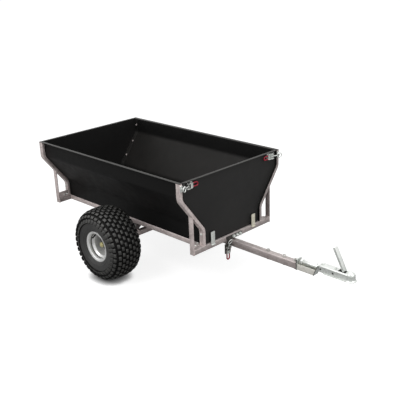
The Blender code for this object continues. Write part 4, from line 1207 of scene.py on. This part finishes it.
def make_lever_pin():
    ends = [(1.256, side * 0.0205, 0.3885) for side in (-1, 1)]
    seated(wire("lever_pin", ends, 0.0042, "zinc"), "coupler_lever", "zinc")


def make_coupler():
    make_shell()
    # Painted shade: the sides of the shaft's block inside the shell are dark, so they read dark through the bolt
    # holes.
    faced(refined("swivel_shaft", "zinc", 0.0006, 60), "dark",
          lambda middle, normal: middle.x > SHELL_REAR and abs(normal.y) > 0.7)
    refined("swivel_nut", "zinc", 0.0009)
    refined("coupler_lever", "zinc", 0.0007, 50)
    refined("coupler_jaw", "dark", 0.0006)
    make_spring_clip()
    make_lever_pin()


# Draw latches

def make_latch_plates(name, seat, pull):
    """Base and channel lever; on a gate latch the base's part on the side of the pull takes the gate's lighter
    black with its painted sheen.
    """
    gate = name != "drawbar"
    footing = refined("latch_base_" + name, "zinc" if gate else "dark", 0.0004)
    channel = refined("latch_lever_" + name, "zinc", 0.0003)
    if gate:
        faced(footing, "gate", lambda middle, normal: (middle - seat).dot(pull) > 0.006)
    else:
        # Painted shade on the sides of the drawbar latch's lever.
        faced(channel, "grey", lambda middle, normal: abs(normal.y) > 0.7)


def make_grip(name, place):
    """Bent wire handle in its red skin."""
    bend = [(GRIP_END + x, y, GRIP_LIFT)
            for x, y in arc((0, 0), GRIP_HALF, math.pi / 2, 3 * math.pi / 2, 14)]
    path = [(GRIP_START, GRIP_HALF, GRIP_LIFT)] + bend + [(GRIP_START, -GRIP_HALF, GRIP_LIFT)]
    grip = wire("grip_" + name, [place @ Vector(p) for p in path], 0.0052, "red", sides=6)
    seated(grip, body_of["latch_lever_" + name], "red")


def make_loop(name, place):
    """Wire ring on its neck, with a sleeve, hung on a bar in the lever."""
    way = (RING_MIDDLE - LOOP_PIN).normalized()
    ring = [place @ (RING_MIDDLE + (way * math.cos(a) + Vector((0, math.sin(a), 0))) * RING_RADIUS)
            for a in [2 * math.pi * i / 40 for i in range(40)]]
    eye = wire("loop_" + name, ring, 0.0035, "zinc", closed=True, sides=5)
    foot = RING_MIDDLE - way * RING_RADIUS
    neck = wire("neck", [place @ LOOP_PIN, place @ foot], 0.0033, "zinc")
    ends = [place @ (LOOP_PIN + Vector((0, y, 0))) for y in (-0.0187, 0.0187)]
    bar = wire("bar", ends, 0.0033, "zinc")
    ends = [place @ (LOOP_PIN + way * s) for s in (0.026, 0.040)]
    sleeve = wire("sleeve", ends, 0.0046, "zinc", sides=1)
    node = "latch_loop_" + name
    seated(merged(eye, [neck, bar, sleeve]), body_of[node], "zinc", node)


def make_rivets(name, place):
    spots = [(place @ Vector((x, y, 0.003)), OFF) for x in (-0.034, 0.0355)
             for y in (-0.0155, 0.0155)]
    rivets = grown("rivets_" + name, seats_mesh("rivet_seats", spots), RIVETS, "zinc")
    seated(flattened(rivets), body_of["latch_base_" + name], "zinc")


def make_latches():
    for name, (seat, pull) in LATCHES.items():
        seat, pull = Vector(seat), Vector(pull)
        turn = Matrix((pull, OFF.cross(pull), OFF)).transposed().to_4x4()
        place = Matrix.Translation(seat) @ turn
        make_latch_plates(name, seat, pull)
        make_grip(name, place)
        make_loop(name, place)
        make_rivets(name, place)


# Fasteners and welds

def tub_seats():
    """Hex bolts of the tub: place and way out."""
    face = SIDE_CORNERS[0][0] + UPRIGHT_DEPTH
    seats = []
    for side in (1, -1):
        for x, y in ((0.240, 0.302), (0.258, 0.338)):
            seats.append(((x, side * y, FRAME_TOP), (0, 0, 1)))
            seats.append(((x, side * y, FRAME_TOP - GUSSET), (0, 0, -1)))
        for y in (0.328, 0.353):
            seats.append(((REAR_X + TUBE, side * y, 0.400), (1, 0, 0)))
            seats.append(((REAR_X + TUBE - GUSSET, side * y, 0.400), (-1, 0, 0)))
        for x in (FRONT_X - TUBE / 2, REAR_X + TUBE / 2):
            seats.append(((x, side * face, 0.465), (0, side, 0)))
    return seats


def corner_seats():
    """Bolts along the rear panel's folded flanges, inside the tub."""
    x = REAR_X + 0.042
    low, high = side_corners(-2 * SHEET - PLAY)[1:3]
    run = Vector((high[0] - low[0], high[1] - low[1])).normalized()
    seats = []
    for side in (1, -1):
        seats.append(((x, side * low[0], 0.435), (0, -side, 0)))
        seats.append(((x, side * high[0], 0.835), (0, -side, 0)))
        for share in (0.30, 0.72):
            y = low[0] + (high[0] - low[0]) * share
            z = low[1] + (high[1] - low[1]) * share
            seats.append(((x, side * y, z), (0, -side * run.y, run.x)))
    return seats


def make_bolts():
    heads = [((x, 0.0, DRAWBAR_TOP), (0, 0, 1)) for x in DRAWBAR_BOLTS]
    nuts = [((x, 0.0, DRAWBAR_TOP - DRAWBAR), (0, 0, -1)) for x in DRAWBAR_BOLTS]
    hook = [((HOOK_FACE, y, 0.3590), (1, 0, 0)) for y in HOOK_BOLTS]
    coupler = [((x, 0.0, SHELL_TOP), (0, 0, 1)) for x in SHELL_BOLTS]
    for name, body, seats, thread, stretch, finish in (
            ("tub_bolts", "tub", tub_seats(), 0.008, 1.0, "zinc"),
            ("corner_bolts", "tub", corner_seats(), 0.008, 1.0, "grey"),
            ("hook_bolts", "tub", hook, 0.0118, 1.5, "zinc"),
            ("drawbar_bolts", "chassis", heads, 0.0135, 1.7, "worn"),
            ("drawbar_nuts", "chassis", nuts, 0.0125, 0.9, "worn"),
            ("coupler_bolts", "coupler", coupler, 0.0105, 1.0, "zinc")):
        bolts = grown(name, seats_mesh(name + "_seats", seats), BOLTS, finish, Thread=thread,
                      Stretch=stretch)
        seated(flattened(bolts, 25), body, finish)


def upright_welds(front, back):
    """Welds where an upright, its post, the rail and the cross member meet, on the left."""
    outer = side_corners(UPRIGHT_DEPTH + 2 * PLAY)
    low, high = Vector(outer[1]), Vector(outer[2])
    rise = [low + (high - low) * ((y - low.x) / (high.x - low.x)) for y in POST_FACES]
    bottom, top, foot = FRAME_TOP - 0.038, FRAME_TOP - 0.002, FRAME_TOP + PLAY
    lines = []
    for x in (front, back):
        lines.append([(x, MEMBER_END, bottom), (x, MEMBER_END, top)])
        lines.append([(x, rise[0].x, rise[0].y), (x, rise[1].x, rise[1].y)])
        lines.append([(x, 0.290, foot), (x, 0.311, foot)])
    lines.append([(front, MEMBER_END, FRAME_TOP), (back, MEMBER_END, FRAME_TOP)])
    lines.append([(front, 0.313, foot), (back, 0.313, foot)])
    lines.append([(back, 0.250, FRAME_TOP), (back, 0.286, FRAME_TOP)])
    for y in reversed(RAIL_FACES):
        lines.append([(back, y, bottom), (back, y, top)])
    return lines


def tub_welds():
    lines = upright_welds(FRONT_X, FRONT_X - TUBE) + upright_welds(REAR_X, REAR_X + TUBE)
    for y in EAR_FACES:
        lines.append([(-0.538, y, 0.3398), (-0.402, y, 0.3398)])
    return lines


def chassis_welds():
    """Welds along the axle beam and at the front of the drawbar, on the left side."""
    rear, front = AXLE_X - TUBE / 2, AXLE_X + TUBE / 2
    inner = (rear + 0.002, front - 0.002)
    lines = []
    for x in (rear, front):
        lines.append([(x, BEAM_END, 0.245), (x, BEAM_END, 0.280)])
        lines.append([(x, 0.0, BEAM_TOP), (x, 0.024, BEAM_TOP)])
    for z in (0.2427, 0.2827):
        lines.append([(x, BEAM_END, z) for x in inner])
    for y in LUG_FACES:
        lines.append([(x, y, BEAM_TOP) for x in inner])
    lines.append([(rear, 0.0252, BEAM_TOP), (front, 0.0252, BEAM_TOP)])
    lines.append([(DRAWBAR_FRONT, 0.0, DRAWBAR_TOP), (DRAWBAR_FRONT, 0.023, DRAWBAR_TOP)])
    lines.append([(DRAWBAR_FRONT, DRAWBAR / 2, 0.285), (DRAWBAR_FRONT, DRAWBAR / 2, 0.331)])
    return lines


def make_welds():
    """Weld runs where the tubes and plates meet, on both sides."""
    for name, body, half in (("tub_welds", "tub", tub_welds()),
                             ("chassis_welds", "chassis", chassis_welds())):
        lines = [[(x, side * y, z) for x, y, z in line] for line in half for side in (1, -1)]
        mesh = bpy.data.meshes.new(name + "_lines")
        points = [p for line in lines for p in line]
        mesh.from_pydata(points, [(2 * i, 2 * i + 1) for i in range(len(lines))], [])
        beads = grown(name, mesh, WELDS, "galvanised")
        seated(flattened(beads, 80), body, "galvanised")


# Studio

def set_camera():
    """Camera of the photograph, which leans a little."""
    camera = bpy.data.cameras.new("camera")
    camera.sensor_width = 36.0
    camera.lens = 62.18
    eye = linked("camera", camera)
    eye.matrix_world = Matrix.Translation((3.443, -3.3867, 2.3729))
    for angle, axis in ((45.6916, "Z"), (69.4354, "X"), (-2.1759, "Z")):
        eye.matrix_world @= Matrix.Rotation(math.radians(angle), 4, axis)
    bpy.context.scene.camera = eye


def pale_floor():
    """White paper that keeps the lamps' shadows; for the camera it also glows, less where something stands near,
    which paints a contact shadow.
    """
    pale = Finish("pale_floor", 0.9)
    seen = Number(pale, pale.add("ShaderNodeLightPath").outputs["Is Camera Ray"])
    level = seen * FLOOR_LEVEL + FLOOR_TONE
    paper = pale.add("ShaderNodeBsdfDiffuse", {"Color": pale.vector(level, level, level)})
    # Painted shadow: ambient occlusion dims the camera's glow near anything that stands on the floor.
    open_share = pale.add("ShaderNodeAmbientOcclusion", {"Distance": SHADOW_REACH}, samples=12)
    near = Number(pale, open_share.outputs["AO"]) ** 2.0
    glow_with_painted_contact_shadow = pale.add("ShaderNodeEmission", {"Strength": seen * (near * FLOOR_GLOW)})
    both = pale.add("ShaderNodeAddShader")
    pale.feed(both.inputs[0], paper)
    pale.feed(both.inputs[1], glow_with_painted_contact_shadow)
    pale.feed(pale.tree.nodes["Material Output"].inputs["Surface"], both)
    return pale.made


def lay_floor():
    mesh = bpy.data.meshes.new("floor")
    corners = [(x * FLOOR_REACH, y * FLOOR_REACH, 0)
               for x, y in ((-1, -1), (1, -1), (1, 1), (-1, 1))]
    mesh.from_pydata(corners, [], [(0, 1, 2, 3)])
    mesh.materials.append(pale_floor())
    linked("floor", mesh)


def light_sky():
    """White surroundings, brighter where they are seen or mirrored than as a light."""
    world = bpy.data.worlds.new("studio")
    world.use_nodes = True
    bpy.context.scene.world = world
    sky = Graph(world.node_tree)
    lit = world.node_tree.nodes["Background"]
    path = sky.add("ShaderNodeLightPath").outputs
    seen = Number(sky, path["Is Camera Ray"]).at_least(
        Number(sky, path["Is Glossy Ray"]).at_least(path["Is Transmission Ray"]))
    sky.feed(lit.inputs["Strength"], seen * (SKY_SEEN - SKY_FILL) + SKY_FILL)
    lit.inputs["Color"].default_value = (1.0, 1.0, 1.0, 1.0)


def hang_lights():
    for name, place, aim, size, power in (
            ("key_light", (-1.0, -3.9, 4.4), (0.0, 0.0, 0.4), 3.0, 110.0),
            ("top_light", (0.5, 0.2, 5.4), (0.0, 0.0, 0.3), 4.0, 110.0),
            ("front_light", (4.8, -0.4, 2.8), (0.2, 0.0, 0.5), 2.4, 60.0)):
        lamp = bpy.data.lights.new(name, "AREA")
        lamp.size = size
        lamp.energy = power
        turn = (Vector(aim) - Vector(place)).to_track_quat("-Z", "Y").to_matrix().to_4x4()
        linked(name, lamp).matrix_world = Matrix.Translation(place) @ turn


def make_studio():
    set_camera()
    lay_floor()
    light_sky()
    hang_lights()
    bpy.context.scene.view_settings.view_transform = "Standard"


make_tub()
make_chassis()
make_wheels()
make_coupler()
make_latches()
make_bolts()
make_welds()
make_studio()
